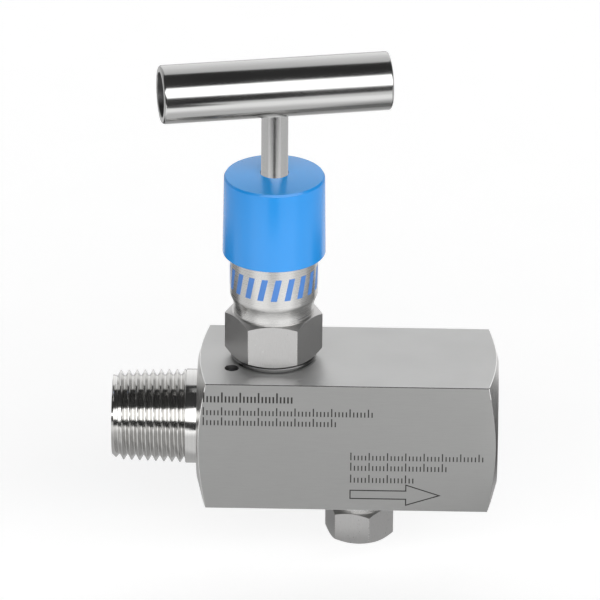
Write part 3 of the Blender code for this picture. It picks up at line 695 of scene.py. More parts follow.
def ease_end_edges(bar):
    """Rounds the curved edges where the flat sides meet the turned ends.

    Only the upper corners of the outlet end keep the painted highlight of the edge colour.
    """
    bm = bmesh.new()
    bm.from_mesh(bar.data)
    bmesh.ops.remove_doubles(bm, verts=bm.verts, dist=1e-7)
    edges = []
    for edge in bm.edges:
        if len(edge.link_faces) == 2:
            slots = {face.material_index for face in edge.link_faces}
            if len(slots) == 2 and END_TURNED in slots:
                edges.append(edge)
    bmesh.ops.bevel(
        bm, geom=edges, offset=END_EDGE_ROUND, segments=3, profile=0.5, affect="EDGES", material=EDGES
    )
    bm.to_mesh(bar.data)
    bm.free()
    shade(bar)
    # Lower down the outlet end, the edges go back to the ground steel, without the painted highlight.
    limit = BODY_TOP - OUTLET_HIGHLIGHT_DEPTH
    for face in bar.data.polygons:
        if face.material_index == EDGES and face.normal.x > 0.05 and face.center.z < limit:
            face.material_index = GROUND


def etch_cutter(name, corners):
    """A cutter for a mark on the front face, from (x, z) corners counted from both axes."""
    face_y = -BODY_WIDTH / 2
    cutter = prism(name, corners, -REACH, ETCH_DEPTH, slot=ETCHED)
    stand_up = Matrix(((1, 0, 0, 0), (0, 0, 1, face_y), (0, 1, 0, FLOW_Z), (0, 0, 0, 1)))
    cutter.data.transform(stand_up)
    cutter.data.flip_normals()
    return cutter


def tick_row_corners(left, right, low, high, width):
    """The rectangles of one row of plain ruler ticks: long at each group's start, short between."""
    count = int((right - left) / TICK_PITCH)
    ticks = []
    for n in range(count):
        tall = n % TICKS_IN_GROUP == 0
        top = high if tall else low + SHORT_TICK_SHARE * (high - low)
        x = left + n * TICK_PITCH
        ticks.append([(x, low), (x + width, low), (x + width, top), (x, top)])
    return ticks


def arrow_outline(inset):
    """The flow arrow's outline, moved inwards by inset."""
    slope = ARROW_HEAD_HALF / (ARROW_TIP_X - ARROW_HEAD_X)
    lean = math.sqrt(1 + slope * slope)
    head_x = ARROW_HEAD_X + inset
    tip_x = ARROW_TIP_X - inset * lean / slope
    head_half = (tip_x - head_x) * slope
    tail_half = ARROW_TAIL_HALF - inset
    upper = [(ARROW_LEFT + inset, tail_half), (head_x, tail_half), (head_x, head_half)]
    lower = [(x, -z) for x, z in reversed(upper)]
    return [(x, z + ARROW_Z) for x, z in upper + [(tip_x, 0)] + lower]


def etch_marks(bar):
    """Cuts the rows of ticks and the outline of the flow arrow into the front face."""
    for row in TICK_ROWS:
        bm = bmesh.new()
        for corners in tick_row_corners(*row):
            tick = etch_cutter("tick", corners)
            bm.from_mesh(tick.data)
            bpy.data.objects.remove(tick)
        combine(bar, add_piece("tick_row", bm, slot=ETCHED), "DIFFERENCE")
    arrow = etch_cutter("flow_arrow", arrow_outline(0.0))
    inside = etch_cutter("arrow_inside", arrow_outline(ARROW_LINE))
    shift(inside, 0, -REACH, 0)
    deeper = etch_cutter("arrow_inside_deep", arrow_outline(ARROW_LINE))
    shift(deeper, 0, ETCH_DEPTH, 0)
    combine(inside, deeper, "UNION")
    combine(arrow, inside, "DIFFERENCE")
    combine(bar, arrow, "DIFFERENCE")


def inlet_end():
    """The male pipe thread and its plain neck, along -X from the bar."""
    neck_x = BODY_LOW.x + INLET_LENGTH
    thread = helix(
        "inlet_thread", INLET_LENGTH, INLET_PITCH, INLET_RADIUS, PIPE_TAPER, INLET_LEAD, THREADS
    )
    place(thread, -X_AXIS, Vector((neck_x, 0, FLOW_Z)))
    outline = [
        (0, neck_x - REACH / 2),
        (INLET_NECK_RADIUS, neck_x - REACH / 2, INLET_NECK_ROUND),
        (INLET_NECK_RADIUS, BAR_START_X + 2 * REACH),
        (0, BAR_START_X + 2 * REACH),
    ]
    neck = place(turned("inlet_neck", outline, slot=THREADS), X_AXIS, FLOW_AXIS)
    combine(neck, thread, "UNION")
    return neck


def inlet_cutters():
    """The bore of the male end and the slanted passage that leads on to the seat."""
    outside = BODY_LOW.x - 2 * INLET_BORE_CHAMFER
    outline = [
        (0, outside),
        (INLET_BORE_RADIUS + 3 * INLET_BORE_CHAMFER, outside),
        (INLET_BORE_RADIUS, BODY_LOW.x + INLET_BORE_CHAMFER, 2 * FINE_ROUND),
        (INLET_BORE_RADIUS, INLET_BORE_END_X - INLET_DRILL_POINT),
        (0, INLET_BORE_END_X),
    ]
    bore = place(turned("inlet_bore", outline, BORE_STEPS, BORES), X_AXIS, FLOW_AXIS)
    start, end = [FLOW_AXIS + point for point in INLET_PASSAGE]
    return [bore, rod("inlet_passage", start, end, INLET_PASSAGE_RADIUS, BORES)]


def stem_cavity():
    """The seat, its chamber and the hole that takes the bonnet."""
    outline = stepped(
        (ORIFICE_RADIUS, ORIFICE_BOTTOM, SEAT_Z),
        (CHAMBER_RADIUS, SEAT_Z, SEAL_LEDGE_Z),
        (BONNET_HOLE_RADIUS, SEAL_LEDGE_Z, FLOW_Z - COUNTERSINK),
        (BONNET_HOLE_RADIUS + 2 * COUNTERSINK, FLOW_Z + COUNTERSINK),
        low_tip=ORIFICE_DRILL_POINT,
    )
    return shift(turned("stem_cavity", outline, BORE_STEPS, BORES), *FLOW_AXIS)


def outlet_cutters():
    """The female port with its pipe thread, the drilled floor and the passage to the seat."""
    floor_x = BAR_END_X - OUTLET_DEPTH
    floor_radius = OUTLET_RADIUS - PIPE_TAPER * OUTLET_DEPTH - OUTLET_DRILL_STEP
    thread = helix(
        "outlet_thread", OUTLET_DEPTH + REACH, INLET_PITCH, OUTLET_RADIUS, PIPE_TAPER, slot=BORES
    )
    place(thread, -X_AXIS, Vector((BAR_END_X + REACH, 0, FLOW_Z)))
    drilled = stepped(
        (floor_radius, floor_x - OUTLET_DRILL_LENGTH, floor_x + REACH), low_tip=OUTLET_DRILL_POINT
    )
    drill = turned("outlet_drill", drilled, BORE_STEPS, BORES)
    cone = stepped(
        (OUTLET_RADIUS - OUTLET_COUNTERSINK, BAR_END_X - 2 * OUTLET_COUNTERSINK),
        (OUTLET_RADIUS + 2 * OUTLET_COUNTERSINK, BAR_END_X + OUTLET_COUNTERSINK),
    )
    mouth = turned("outlet_mouth", cone, slot=END_TURNED)
    start, end = [FLOW_AXIS + point for point in OUTLET_PASSAGE]
    passage = rod("outlet_passage", start, end, OUTLET_PASSAGE_RADIUS, BORES)
    for cutter in (drill, mouth):
        place(cutter, X_AXIS, FLOW_AXIS)
    return [thread, drill, mouth, passage]


def bleed_port():
    """The tapped port in the underside, up to the small hole that meets the passage."""
    mouth = BLEED_RADIUS + BLEED_ROOM
    bottom = -BODY_WIDTH / 2
    outline = stepped(
        (mouth + 2 * COUNTERSINK, bottom - COUNTERSINK),
        (mouth, bottom + COUNTERSINK),
        (mouth - PIPE_TAPER * (BLEED_PORT_TOP - bottom), BLEED_PORT_TOP),
        (BLEED_HOLE_RADIUS, BLEED_PORT_TOP + BLEED_DRILL_POINT, BLEED_HOLE_TOP),
    )
    return shift(turned("bleed_port", outline, BORE_STEPS, BORES), PLUG_X, 0, FLOW_Z)


def lock_hole():
    """The blind hole beside the bonnet that holds the spring pin."""
    centre = (PIN_LOW + PIN_HIGH) / 2
    radius = (PIN_HIGH.y - PIN_LOW.y) / 2 + FINE_ROUND
    outline = stepped(
        (radius, -LOCK_HOLE_DEPTH, -LOCK_COUNTERSINK),
        (radius + LOCK_COUNTERSINK + LOCK_OVERSHOOT, LOCK_OVERSHOOT),
        low_tip=LOCK_DRILL_POINT,
    )
    # Its walls get the dark hole steel: painted shade in the hole.
    hole = turned("lock_hole", outline, SMALL_STEPS, SHADED_HOLES)
    return shift(hole, centre.x, centre.y, BODY_TOP)


def build_body(materials):
    body = bar_with_turned_ends()
    ease_end_edges(body)
    etch_marks(body)
    combine(body, inlet_end(), "UNION")
    for cutter in inlet_cutters() + [stem_cavity()] + outlet_cutters() + [bleed_port(), lock_hole()]:
        combine(body, cutter, "DIFFERENCE")
    stands_for(body, materials, "valve_body", "fixed_valve", "ground_body_steel")


# ---- bonnet, cap and pin


def break_upright_edges(nut):
    """Breaks the six upright edges of a hexagon prism."""
    bm = bmesh.new()
    bm.from_mesh(nut.data)
    upright = [e for e in bm.edges if (e.verts[0].co.xy - e.verts[1].co.xy).length < REACH]
    bmesh.ops.bevel(bm, geom=upright, offset=HEX_EDGE_BREAK, segments=1, affect="EDGES")
    bm.to_mesh(nut.data)
    bm.free()


def chamfered_hexagon(name, flats, bottom, top, turn=0.0):
    """A milled hexagon whose corners are cut by 30 degree cones at both ends."""
    nut = prism(name, hexagon_corners(flats, turn), bottom, top, MILLED)
    break_upright_edges(nut)
    start = flats / 2 - HEX_CHAMFER_INSET
    reach = flats / 2 / math.cos(math.pi / 6) + REACH
    rise = (reach - start) * math.tan(HEX_CHAMFER_ANGLE)
    outline = stepped(
        (start, bottom - REACH, bottom), (reach, bottom + rise, top - rise), (start, top, top + REACH)
    )
    combine(nut, turned("hexagon_turning", outline, slot=MILLED), "INTERSECT")
    return nut


def build_bonnet(materials):
    """The screwed bonnet: collar, hexagon, neck, coned shoulder, marked band and its bores."""
    top = BONNET_HIGH.z - FLOW_Z
    collar_bottom = FLOW_Z + GAP
    relief_bottom = FLOW_Z - BONNET_RELIEF_DEPTH
    outline = [
        (0, relief_bottom),
        (BONNET_RELIEF_RADIUS, relief_bottom),
        (BONNET_RELIEF_RADIUS, collar_bottom),
        (COLLAR_RADIUS, collar_bottom, FINE_ROUND),
        (COLLAR_RADIUS, HEX_BOTTOM - COLLAR_SHOULDER / 2, CORNER_ROUND),
        (COLLAR_RADIUS - COLLAR_SHOULDER, HEX_BOTTOM, FINE_ROUND),
        (COLLAR_RADIUS - COLLAR_SHOULDER, HEX_BOTTOM + REACH),
        (NECK_RADIUS, HEX_BOTTOM + 2 * REACH),
        (NECK_RADIUS, NECK_TOP, NECK_ROUND),
        (BAND_RADIUS - BAND_STEP, BAND_BOTTOM),
        (BAND_RADIUS - BAND_STEP, BAND_BOTTOM + 2 * BAND_STEP),
        (BAND_RADIUS, BAND_BOTTOM + 3 * BAND_STEP),
        (BAND_RADIUS, top - BONNET_TOP_CHAMFER, EDGE_ROUND),
        (BAND_RADIUS - BONNET_TOP_CHAMFER, top),
        (0, top),
    ]
    bonnet = turned("bonnet_surface", outline, slot=TURNED)
    # The collar faces get the dark collar steel: painted shade under the hexagon.
    finish_faces(bonnet, SHADED_COLLAR, lambda centre, normal: collar_bottom < centre.z < HEX_BOTTOM + REACH)
    nut = chamfered_hexagon("bonnet_hexagon", HEX_FLATS, HEX_BOTTOM, HEX_TOP)
    combine(bonnet, nut, "UNION")
    thread_bottom = BONNET_LOW.z - FLOW_Z
    thread_top = relief_bottom + REACH
    add_thread(bonnet, thread_bottom, thread_top, BONNET_PITCH, BONNET_THREAD_RADIUS)
    bores = stepped(
        (BONNET_BORE_RADIUS, thread_bottom - REACH, BACK_SEAT_Z),
        (STEM_RADIUS + GAP, BACK_SEAT_Z + BACK_SEAT_RISE, STEM_BORE_TOP),
        (PACKING_RADIUS, STEM_BORE_TOP, GLAND_BORE_BOTTOM),
        (GLAND_BORE_RADIUS, GLAND_BORE_BOTTOM, top + REACH),
    )
    combine(bonnet, turned("bonnet_bore", bores, BORE_STEPS), "DIFFERENCE")
    shift(bonnet, *FLOW_AXIS)
    stands_for(bonnet, materials, "bonnet", "fixed_valve", "turned_steel")


def build_band_marks(ink):
    """Plain slanted bars painted round the band, as thin curved patches."""
    bm = bmesh.new()
    for mark in range(MARK_COUNT):
        done = len(bm.faces)
        inner = bmesh.ops.create_grid(bm, x_segments=5, y_segments=7, size=0.5)["verts"]
        made = bmesh.ops.extrude_face_region(bm, geom=list(bm.faces)[done:])["geom"]
        outer = [item for item in made if isinstance(item, bmesh.types.BMVert)]
        for verts, radius in ((inner, BAND_RADIUS - MARK_HEIGHT), (outer, BAND_RADIUS + MARK_HEIGHT)):
            for vert in verts:
                across = vert.co.x * MARK_WIDTH + vert.co.y * MARK_SLANT
                angle = 2 * math.pi * (mark + 0.25) / MARK_COUNT + across / BAND_RADIUS
                height = MARK_LOW + (vert.co.y + 0.5) * (MARK_HIGH - MARK_LOW) + FLOW_Z
                vert.co = (radius * math.cos(angle), radius * math.sin(angle), height)
    marks = add_piece("bonnet_band_marks", bm)
    give_materials(marks, [ink])
    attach(marks, "fixed_valve")


def build_cap(materials):
    """The moulded cap, drawn in towards a slightly crowned top, with a hole for the stem."""
    top = CAP_HIGH.z - CAP_RIM_DROP
    roof = top - CAP_ROOF
    hole = STEM_RADIUS + GAP
    low_radius = (CAP_HIGH.x - CAP_LOW.x) / 2
    top_radius = low_radius - CAP_DRAFT
    crown = [(share * top_radius, top + CAP_CROWN * (1 - share**2)) for share in (0.85, 0.7, 0.55)]
    outline = [
        *crown,
        (hole, top + CAP_CROWN, FINE_ROUND),
        (hole, roof),
        (BAND_RADIUS + GAP, roof, CORNER_ROUND),
        (BAND_RADIUS + GAP, CAP_LOW.z),
        (low_radius, CAP_LOW.z, EDGE_ROUND),
        (top_radius, top - CAP_RIM_HEIGHT, FINE_ROUND),
        (top_radius - CAP_RIM_WIDTH, top),
    ]
    cap = turned("dust_cap_surface", outline, slot=WALL)
    # The crown faces get a lighter blue than the wall: painted light on the top.
    finish_faces(cap, LIT_CROWN, lambda centre, normal: normal.z > 0.9 and centre.z > top - REACH)
    cap.visible_glossy = False
    stands_for(cap, materials, "dust_cap", "fixed_valve", "cap_plastic")


def build_lock_pin(metal):
    """The slotted spring pin, a short rolled tube sunk in its hole."""
    centre = (PIN_LOW + PIN_HIGH) / 2
    outer = (PIN_HIGH.y - PIN_LOW.y) / 2
    inner = outer - PIN_WALL
    outline = [
        (inner, PIN_LOW.z),
        (outer, PIN_LOW.z, PIN_LOW_ROUND),
        (outer, PIN_HIGH.z, PIN_TOP_ROUND),
        (inner, PIN_HIGH.z, PIN_INNER_ROUND),
    ]
    pin = turned("bonnet_lock_pin_surface", outline, steps=SMALL_STEPS)
    reach, half = outer + REACH, PIN_SLOT_HALF
    slot_box = [(-reach, -half), (0, -half), (0, half), (-reach, half)]
    combine(pin, prism("pin_slot", slot_box, PIN_LOW.z - REACH, PIN_HIGH.z + REACH), "DIFFERENCE")
    shift(pin, centre.x, centre.y, 0)
    stands_for(pin, [metal], "bonnet_lock_pin", "fixed_valve", "hard_steel")


# ---- stem and T-bar


def build_stem(metal):
    """The stem: plain shaft, back-seat shoulder, operating thread and the needle's socket."""
    bottom = STEM_LOW.z - FLOW_Z
    top = STEM_HIGH.z - FLOW_Z
    outline = [
        (0, STEM_THREAD_TOP - REACH),
        (STEM_RELIEF_RADIUS, STEM_THREAD_TOP - REACH),
        (STEM_RELIEF_RADIUS, STEM_THREAD_TOP + GAP),
        (STEM_RADIUS, STEM_THREAD_TOP + BACK_SEAT_RISE, EDGE_ROUND),
        (STEM_RADIUS, top, CORNER_ROUND),
        (0, top),
    ]
    stem = turned("stem_surface", outline, BORE_STEPS)
    add_thread(stem, bottom, STEM_THREAD_TOP, STEM_PITCH, STEM_THREAD_RADIUS)
    socket = stepped(
        (SOCKET_RADIUS, bottom - REACH, CLIP_GROOVE_BOTTOM),
        (CLIP_GROOVE_RADIUS, CLIP_GROOVE_BOTTOM, CLIP_GROOVE_TOP),
        (SOCKET_RADIUS, CLIP_GROOVE_TOP, SOCKET_TOP),
        high_tip=SOCKET_DRILL_POINT,
    )
    combine(stem, turned("stem_socket", socket, SMALL_STEPS), "DIFFERENCE")
    shift(stem, *FLOW_AXIS)
    stands_for(stem, [metal], "stem", "stem_group", "turned_steel")


def handle_tube():
    """The T-bar's tube along X, with rolled ends and a bore darkened as painted shade."""
    half = HANDLE_LENGTH / 2
    outline = [
        (HANDLE_BORE_RADIUS, -half, EDGE_ROUND),
        (HANDLE_RADIUS, -half, HANDLE_ROUND),
        (HANDLE_RADIUS, half, HANDLE_ROUND),
        (HANDLE_BORE_RADIUS, half, EDGE_ROUND),
    ]
    bar = turned("t_handle_surface", outline, slot=POLISHED)
    inside = HANDLE_BORE_RADIUS + REACH / 10
    # The bore gets the dark hole steel: painted shade inside the tube.
    finish_faces(bar, BORE, lambda centre, normal: centre.xy.length < inside)
    return place(bar, X_AXIS)


def handle_screw():
    """The set screw along +Y, with a rounded point and a hexagon socket."""
    outline = [
        (0, SCREW_INNER),
        (SCREW_RADIUS, SCREW_INNER, SCREW_POINT),
        (SCREW_RADIUS, SCREW_OUTER, SCREW_ROUND),
        (0, SCREW_OUTER),
    ]
    screw = turned("handle_set_screw_surface", outline, steps=SMALL_STEPS)
    key_bottom = SCREW_OUTER - SCREW_KEY_DEPTH
    key = prism("screw_key", hexagon_corners(SCREW_KEY_FLATS), key_bottom, SCREW_OUTER + REACH)
    combine(screw, key, "DIFFERENCE")
    return place(screw, Vector((0, 1, 0)))


def build_handle(polished, hole_shade_metal, inner_metal, screw_metal):
    """The T-bar tube with rolled ends, its core and the set screw on its far side."""
    bar = handle_tube()
    core_radius = HANDLE_BORE_RADIUS - FIT
    core_outline = [
        (0, -HANDLE_CORE_HALF),
        (core_radius, -HANDLE_CORE_HALF, CORNER_ROUND),
        (core_radius, HANDLE_CORE_HALF, CORNER_ROUND),
        (0, HANDLE_CORE_HALF),
    ]
    core = place(turned("handle_core_surface", core_outline, BORE_STEPS), X_AXIS)
    stem_hole_top = STEM_HIGH.z + GAP - FLOW_Z - HANDLE_Z
    for piece in (bar, core):
        low, high = Vector((0, 0, -2 * HANDLE_RADIUS)), Vector((0, 0, stem_hole_top))
        combine(piece, rod("stem_hole", low, high, STEM_RADIUS + FIT), "DIFFERENCE")
        middle, outer = Vector((0, 0, 0)), Vector((0, 2 * HANDLE_RADIUS, 0))
        combine(piece, rod("screw_hole", middle, outer, SCREW_RADIUS + FIT), "DIFFERENCE")
    where = Matrix.Translation((0, 0, HANDLE_Z + FLOW_Z)) @ Matrix.Rotation(HANDLE_TURN, 4, "Z")
    kept = (
        (bar, [polished, hole_shade_metal], "t_handle", "polished_steel"),
        (core, [inner_metal], "handle_core", "turned_steel"),
        (handle_screw(), [screw_metal], "handle_set_screw", "hard_steel"),
    )
    for piece, materials, node_name, slot_name in kept:
        piece.matrix_world = where
        stands_for(piece, materials, node_name, "stem_group", slot_name)


# ---- bleed plug


def build_bleed_plug(materials):
    """The hexagon plug: chamfered hexagon, plain neck and tapered pipe thread."""
    turn = PLUG_TURN + math.pi / 2
    ends = (PLUG_HEX_BOTTOM, PLUG_HEX_TOP)
    plug = chamfered_hexagon("bleed_plug_surface", PLUG_HEX_FLATS, *ends, turn)
    neck = stepped((PLUG_NECK_RADIUS, PLUG_HEX_TOP - REACH, PLUG_THREAD_BOTTOM + REACH))
    combine(plug, turned("plug_neck", neck), "UNION")
    crest = BLEED_RADIUS - PIPE_TAPER * (PLUG_THREAD_BOTTOM + BODY_WIDTH / 2)
    ends = (PLUG_THREAD_BOTTOM, PLUG_THREAD_TOP)
    add_thread(plug, *ends, BLEED_PITCH, crest, PIPE_TAPER, PLUG_LEAD)
    shift(plug, PLUG_X, 0, FLOW_Z)
    stands_for(plug, materials, "bleed_plug", "plug_group", "turned_steel")


# ---- inner pieces


def finish_inner_pieces(turned_metal, hard_metal, ptfe):
    """Gives every CAD node that stays its procedural material."""
    packing = ["base_ring", "chevron_lower", "chevron_middle", "top_ring"]
    soft = ["bonnet_seal_ring", "bleed_thread_tape", *["packing_" + name for name in packing]]
    machined = ["packing_washer", "gland_bush", "gland_nut", "gland_lock_nut", "needle"]
    hard = ["thrust_ball", "needle_clip"]
    for names, material in ((soft, ptfe), (machined, turned_metal), (hard, hard_metal)):
        for name in names:
            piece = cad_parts[name]
            piece.data.materials.clear()
            give_materials(piece, [material])


# ---- studio

# Light by direction. The softbox and the back light are bounded by angles round the X axis
# in degrees, from the front horizon (0) over the top (90) to the back horizon (180). To the right
# the softbox's lower edge sinks and its upper edge rises, by the given degrees per unit of X.
SOFTBOX_BOTTOM = 10.5
SOFTBOX_SINK = 10.0
SOFTBOX_TOP = 44.5
SOFTBOX_RISE = 14.0
SOFTBOX_LIGHT = 2.5
BACK_START = 106.0
BACK_LIGHT = (0.78, 1.12)
BACK_CLIMB = (115.0, 155.0)
DARK_LIGHT = 0.042
EDGE_SOFTNESS = 2.0
BACKDROP = 1.0

# Two sides of the back light are weaker. Angles run round the Z axis in degrees, from the front
# (0) to the right (90), and the last number is the share of the light that is left.
DARK_SIDE = (89.0, 137.0, 0.08)
LEFT_SIDE = (-155.0, -95.0, 0.5)
SIDE_SOFTNESS = 6.0

# The pale floor, which the metal doesn't reflect.
FLOOR_SIZE = 6.0
FLOOR_TONE = 0.60
FLOOR_GLOW = 0.64

# The table as the metal sees it: its light under, near and far from the valve and the distances
# over which it changes. The dimmer light under and near the valve is a painted shadow of the valve.
# Shares of it are left beyond the outer distance, towards the flanks, in two dark windows behind the
# valve (between two angles round Z) and in the notch where the camera stands.
TABLE_FRONT = -0.30
TABLE_SIZE = 6.0
TABLE_DROP = 0.0001
TABLE_LIGHT = (0.46, 0.78, 1.40)
TABLE_UNDER = (0.008, 0.018)
TABLE_NEAR = (0.070, 0.120)
TABLE_OUTER = (0.185, 0.215, 0.70)
FLANK = (42.0, 62.0, 0.62)
LEFT_WINDOW = (-146.0, -100.0, 0.06)
RIGHT_WINDOW = (95.0, 134.0, 0.02)
WINDOW_START = (0.060, 0.080)
WINDOW_REACH = (0.150, 0.185)
WINDOW_SOFTNESS = 5.0
NOTCH_FRONT = 0.182
NOTCH_HALF = 0.045
NOTCH_SOFTNESS = (0.004, 0.006)


def angle_of(tree, sine, cosine):
    """The angle in degrees whose sine and cosine stand in the given ratio."""
    return math_node(tree, "DEGREES", math_node(tree, "ARCTAN2", sine, cosine))


def step_up(tree, value, at, softness=EDGE_SOFTNESS):
    """0 below the given value and 1 above it, with a soft step."""
    past = math_node(tree, "SUBTRACT", value, at)
    return ramp(tree, past, 0.0, 1.0, -softness, softness, "SMOOTHSTEP")


def window(tree, value, low, high, softness=EDGE_SOFTNESS):
    """1 between two values and 0 outside them, with soft steps."""
    rise = step_up(tree, value, low, softness)
    fall = step_up(tree, value, high, softness)
    return math_node(tree, "SUBTRACT", rise, fall)


def build_studio_light():
    """A world whose light depends on direction, and which the camera sees as plain white."""
    world = bpy.data.worlds.new("studio")
    bpy.context.scene.world = world
    world.use_nodes = True
    tree = world.node_tree
    tree.nodes.clear()
    direction = node(tree, "ShaderNodeTexCoord").outputs["Generated"]
    parts = node(tree, "ShaderNodeSeparateXYZ", {0: direction}).outputs
    front = math_node(tree, "MULTIPLY", parts["Y"], -1.0)
    over = angle_of(tree, parts["Z"], front)
    round_z = angle_of(tree, parts["X"], front)
    bottom = math_node(tree, "MULTIPLY_ADD", parts["X"], -SOFTBOX_SINK)
    bottom.node.inputs[2].default_value = SOFTBOX_BOTTOM
    top = math_node(tree, "MULTIPLY_ADD", parts["X"], SOFTBOX_RISE)
    top.node.inputs[2].default_value = SOFTBOX_TOP
    softbox = window(tree, over, bottom, top)
    back = math_node(
        tree, "MULTIPLY", step_up(tree, over, BACK_START), ramp(tree, over, *BACK_LIGHT, *BACK_CLIMB)
    )
    for first, last, share in (DARK_SIDE, LEFT_SIDE):
        shaded = window(tree, round_z, first, last, SIDE_SOFTNESS)
        back = math_node(tree, "MULTIPLY", back, ramp(tree, shaded, 1.0, share))
    strength = math_node(tree, "ADD", math_node(tree, "MULTIPLY", softbox, SOFTBOX_LIGHT), back)
    strength = math_node(tree, "ADD", strength, DARK_LIGHT)
    studio = node(tree, "ShaderNodeBackground", {"Color": (1, 1, 1, 1), "Strength": strength})
    white = node(tree, "ShaderNodeBackground", {"Color": (1, 1, 1, 1), "Strength": BACKDROP})
    seen = node(tree, "ShaderNodeLightPath").outputs["Is Camera Ray"]
    mix = node(tree, "ShaderNodeMixShader", {0: seen, 1: studio.outputs[0], 2: white.outputs[0]})
    node(tree, "ShaderNodeOutputWorld", {"Surface": mix.outputs[0]})


def pale_floor():
    """A matt pale surface with a faint mottle, which also glows to soften shadows.

    Its underside is see-through, so that a view from below shows the valve.
    """
    material, tree, surface = new_material("pale_floor")
    mottle = stretched_noise(tree, (60, 60, 60))
    level = ramp(tree, mottle, 0.99 * FLOOR_TONE, 1.01 * FLOOR_TONE, 0.3, 0.7)
    tint = node(tree, "ShaderNodeCombineXYZ", {0: level, 1: level, 2: level})
    inputs = {
        "Base Color": tint.outputs[0],
        "Roughness": 0.9,
        "Specular IOR Level": 0.0,
        "Emission Color": (1, 1, 1, 1),
        "Emission Strength": FLOOR_GLOW,
    }
    fill_inputs(tree, surface, inputs)
    below = node(tree, "ShaderNodeNewGeometry").outputs["Backfacing"]
    clear = node(tree, "ShaderNodeBsdfTransparent").outputs[0]
    mixed = node(tree, "ShaderNodeMixShader", {0: below, 1: surface.outputs[0], 2: clear}).outputs[0]
    tree.links.new(mixed, tree.nodes["Material Output"].inputs["Surface"])
    return material


def table_glow():
    """The table's light by place, brightest in front of the valve and some way off, with a painted
    shadow of the valve under and near it.
    """
    material, tree, surface = new_material("white_table")
    spot = node(tree, "ShaderNodeNewGeometry").outputs["Position"]
    flat = node(tree, "ShaderNodeVectorMath", {0: spot, 1: (1, 1, 0)}, operation="MULTIPLY").outputs[0]
    distance = node(tree, "ShaderNodeVectorMath", {0: flat}, operation="LENGTH").outputs["Value"]
    under, near, far = TABLE_LIGHT
    # The light drops under and near the valve: a painted shadow of the valve.
    level = ramp(tree, distance, under, near, *TABLE_UNDER)
    level = math_node(tree, "ADD", level, ramp(tree, distance, 0.0, far - near, *TABLE_NEAR))
    parts = node(tree, "ShaderNodeSeparateXYZ", {0: spot}).outputs
    front = math_node(tree, "MULTIPLY", parts["Y"], -1.0)
    azimuth = angle_of(tree, parts["X"], front)
    aside = math_node(tree, "ABSOLUTE", azimuth)
    shares = [ramp(tree, aside, 1.0, FLANK[2], FLANK[0], FLANK[1], "SMOOTHSTEP")]
    shares.append(ramp(tree, distance, 1.0, TABLE_OUTER[2], TABLE_OUTER[0], TABLE_OUTER[1]))
    nearby = ramp(tree, distance, 1.0, 0.0, *WINDOW_REACH)
    nearby = math_node(tree, "MULTIPLY", nearby, ramp(tree, distance, 0.0, 1.0, *WINDOW_START))
    for first, last, share in (LEFT_WINDOW, RIGHT_WINDOW):
        opening = window(tree, azimuth, first, last, WINDOW_SOFTNESS)
        opening = math_node(tree, "MULTIPLY", opening, nearby)
        shares.append(ramp(tree, opening, 1.0, share))
    beyond = step_up(tree, front, NOTCH_FRONT, NOTCH_SOFTNESS[0])
    sideways = math_node(tree, "ABSOLUTE", parts["X"])
    off_centre = step_up(tree, sideways, NOTCH_HALF, NOTCH_SOFTNESS[1])
    inside = math_node(tree, "SUBTRACT", 1.0, off_centre)
    shares.append(ramp(tree, math_node(tree, "MULTIPLY", beyond, inside), 1.0, DARK_LIGHT))
    for share in shares:
        level = math_node(tree, "MULTIPLY", level, share)
    inputs = {
        "Base Color": (0, 0, 0, 1),
        "Specular IOR Level": 0.0,
        "Emission Color": (1, 1, 1, 1),
        "Emission Strength": level,
    }
    fill_inputs(tree, surface, inputs)
    return material


def level_square(name, size, material, y, z):
    """A square that lies level at height z, with its middle at y."""
    bm = bmesh.new()
    bmesh.ops.create_grid(bm, x_segments=1, y_segments=1, size=size / 2)
    piece = add_piece(name, bm)
    give_materials(piece, [material])
    piece.location = (0, y, z)
    return piece


def build_floor():
    """A wide pale floor, and the white table that only the metal's reflections see."""
    floor = level_square("floor", FLOOR_SIZE, pale_floor(), 0, PLUG_LOW.z - PLUG_ROOM)
    floor.visible_glossy = False
    middle = TABLE_FRONT + TABLE_SIZE / 2
    table = level_square("table", TABLE_SIZE, table_glow(), middle, PLUG_LOW.z - TABLE_DROP)
    table.visible_camera = False
    table.visible_diffuse = False
    table.visible_shadow = False


# Camera: a long lens, a little right of straight ahead and well above.
CAMERA_DISTANCE = 1.5746
CAMERA_AZIMUTH = math.radians(1.3)
CAMERA_ELEVATION = math.radians(26.3)
CAMERA_ROLL = math.radians(0.44)
CAMERA_LENS = 418.2
AIM_RIGHT = 0.00592
AIM_UP = 0.02643


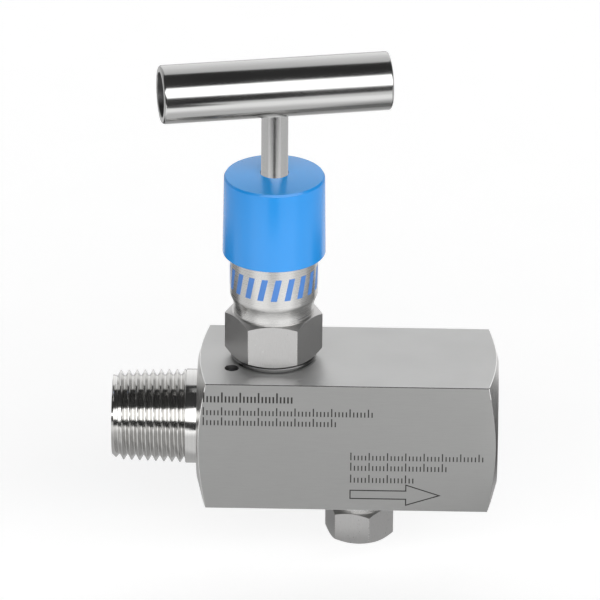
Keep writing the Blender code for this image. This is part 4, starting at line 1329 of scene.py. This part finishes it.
def build_camera():
    """The camera circles the point where the stem's axis meets the flow axis."""
    a, e = CAMERA_AZIMUTH, CAMERA_ELEVATION
    back = Vector((math.sin(a) * math.cos(e), -math.cos(a) * math.cos(e), math.sin(e)))
    right = Vector((math.cos(a), math.sin(a), 0))
    up = Vector((-math.sin(a) * math.sin(e), math.cos(a) * math.sin(e), math.cos(e)))
    eye = FLOW_AXIS + CAMERA_DISTANCE * back
    target = FLOW_AXIS + AIM_RIGHT * right + AIM_UP * up
    camera = bpy.data.objects.new("camera", bpy.data.cameras.new("camera"))
    camera.data.lens = CAMERA_LENS
    camera.data.sensor_width = 36
    turn = (target - eye).to_track_quat("-Z", "Y").to_matrix().to_4x4()
    camera.matrix_world = Matrix.Translation(eye) @ turn @ Matrix.Rotation(CAMERA_ROLL, 4, "Z")
    bpy.context.scene.collection.objects.link(camera)
    bpy.context.scene.camera = camera


def main():
    bpy.context.scene.view_settings.view_transform = "Standard"
    ground = ground_steel()
    turned_x = turned_steel("end_turned_steel", "X", 0.30)
    turned_z = turned_steel("turned_steel", "Z")
    milled = milled_steel()
    threads = thread_steel()
    bores = turned_steel("bored_steel", "X", 0.28, 0.3)
    hard = hardened_steel()
    plastic = moulded("cap_plastic", (0.010, 0.285, 0.780), 0.22, texture=0.0000002)
    # A lighter copy of the cap plastic for the top: painted light.
    crown = moulded("cap_crown_lit_plastic", (0.010, 0.370, 0.950), 0.22, texture=0.0000002)
    ink = moulded("band_ink", (0.055, 0.215, 0.610), 0.45, texture=0.000002)
    ptfe = moulded("white_ptfe", (0.86, 0.86, 0.84), 0.45, bleed=0.2)
    hole_shade = hole_shade_steel()
    build_body(
        [ground, turned_x, etched_steel(), threads, bores, edge_highlight_steel(), hole_shade, lit_top_ground_steel()]
    )
    build_bonnet([turned_z, milled, collar_shade_steel()])
    build_band_marks(ink)
    build_cap([plastic, crown])
    build_lock_pin(hard)
    build_stem(shaft_steel())
    build_handle(polished_steel(), hole_shade, turned_x, hard)
    build_bleed_plug([turned_z, milled])
    finish_inner_pieces(turned_z, hard, ptfe)
    build_studio_light()
    build_floor()
    build_camera()


main()
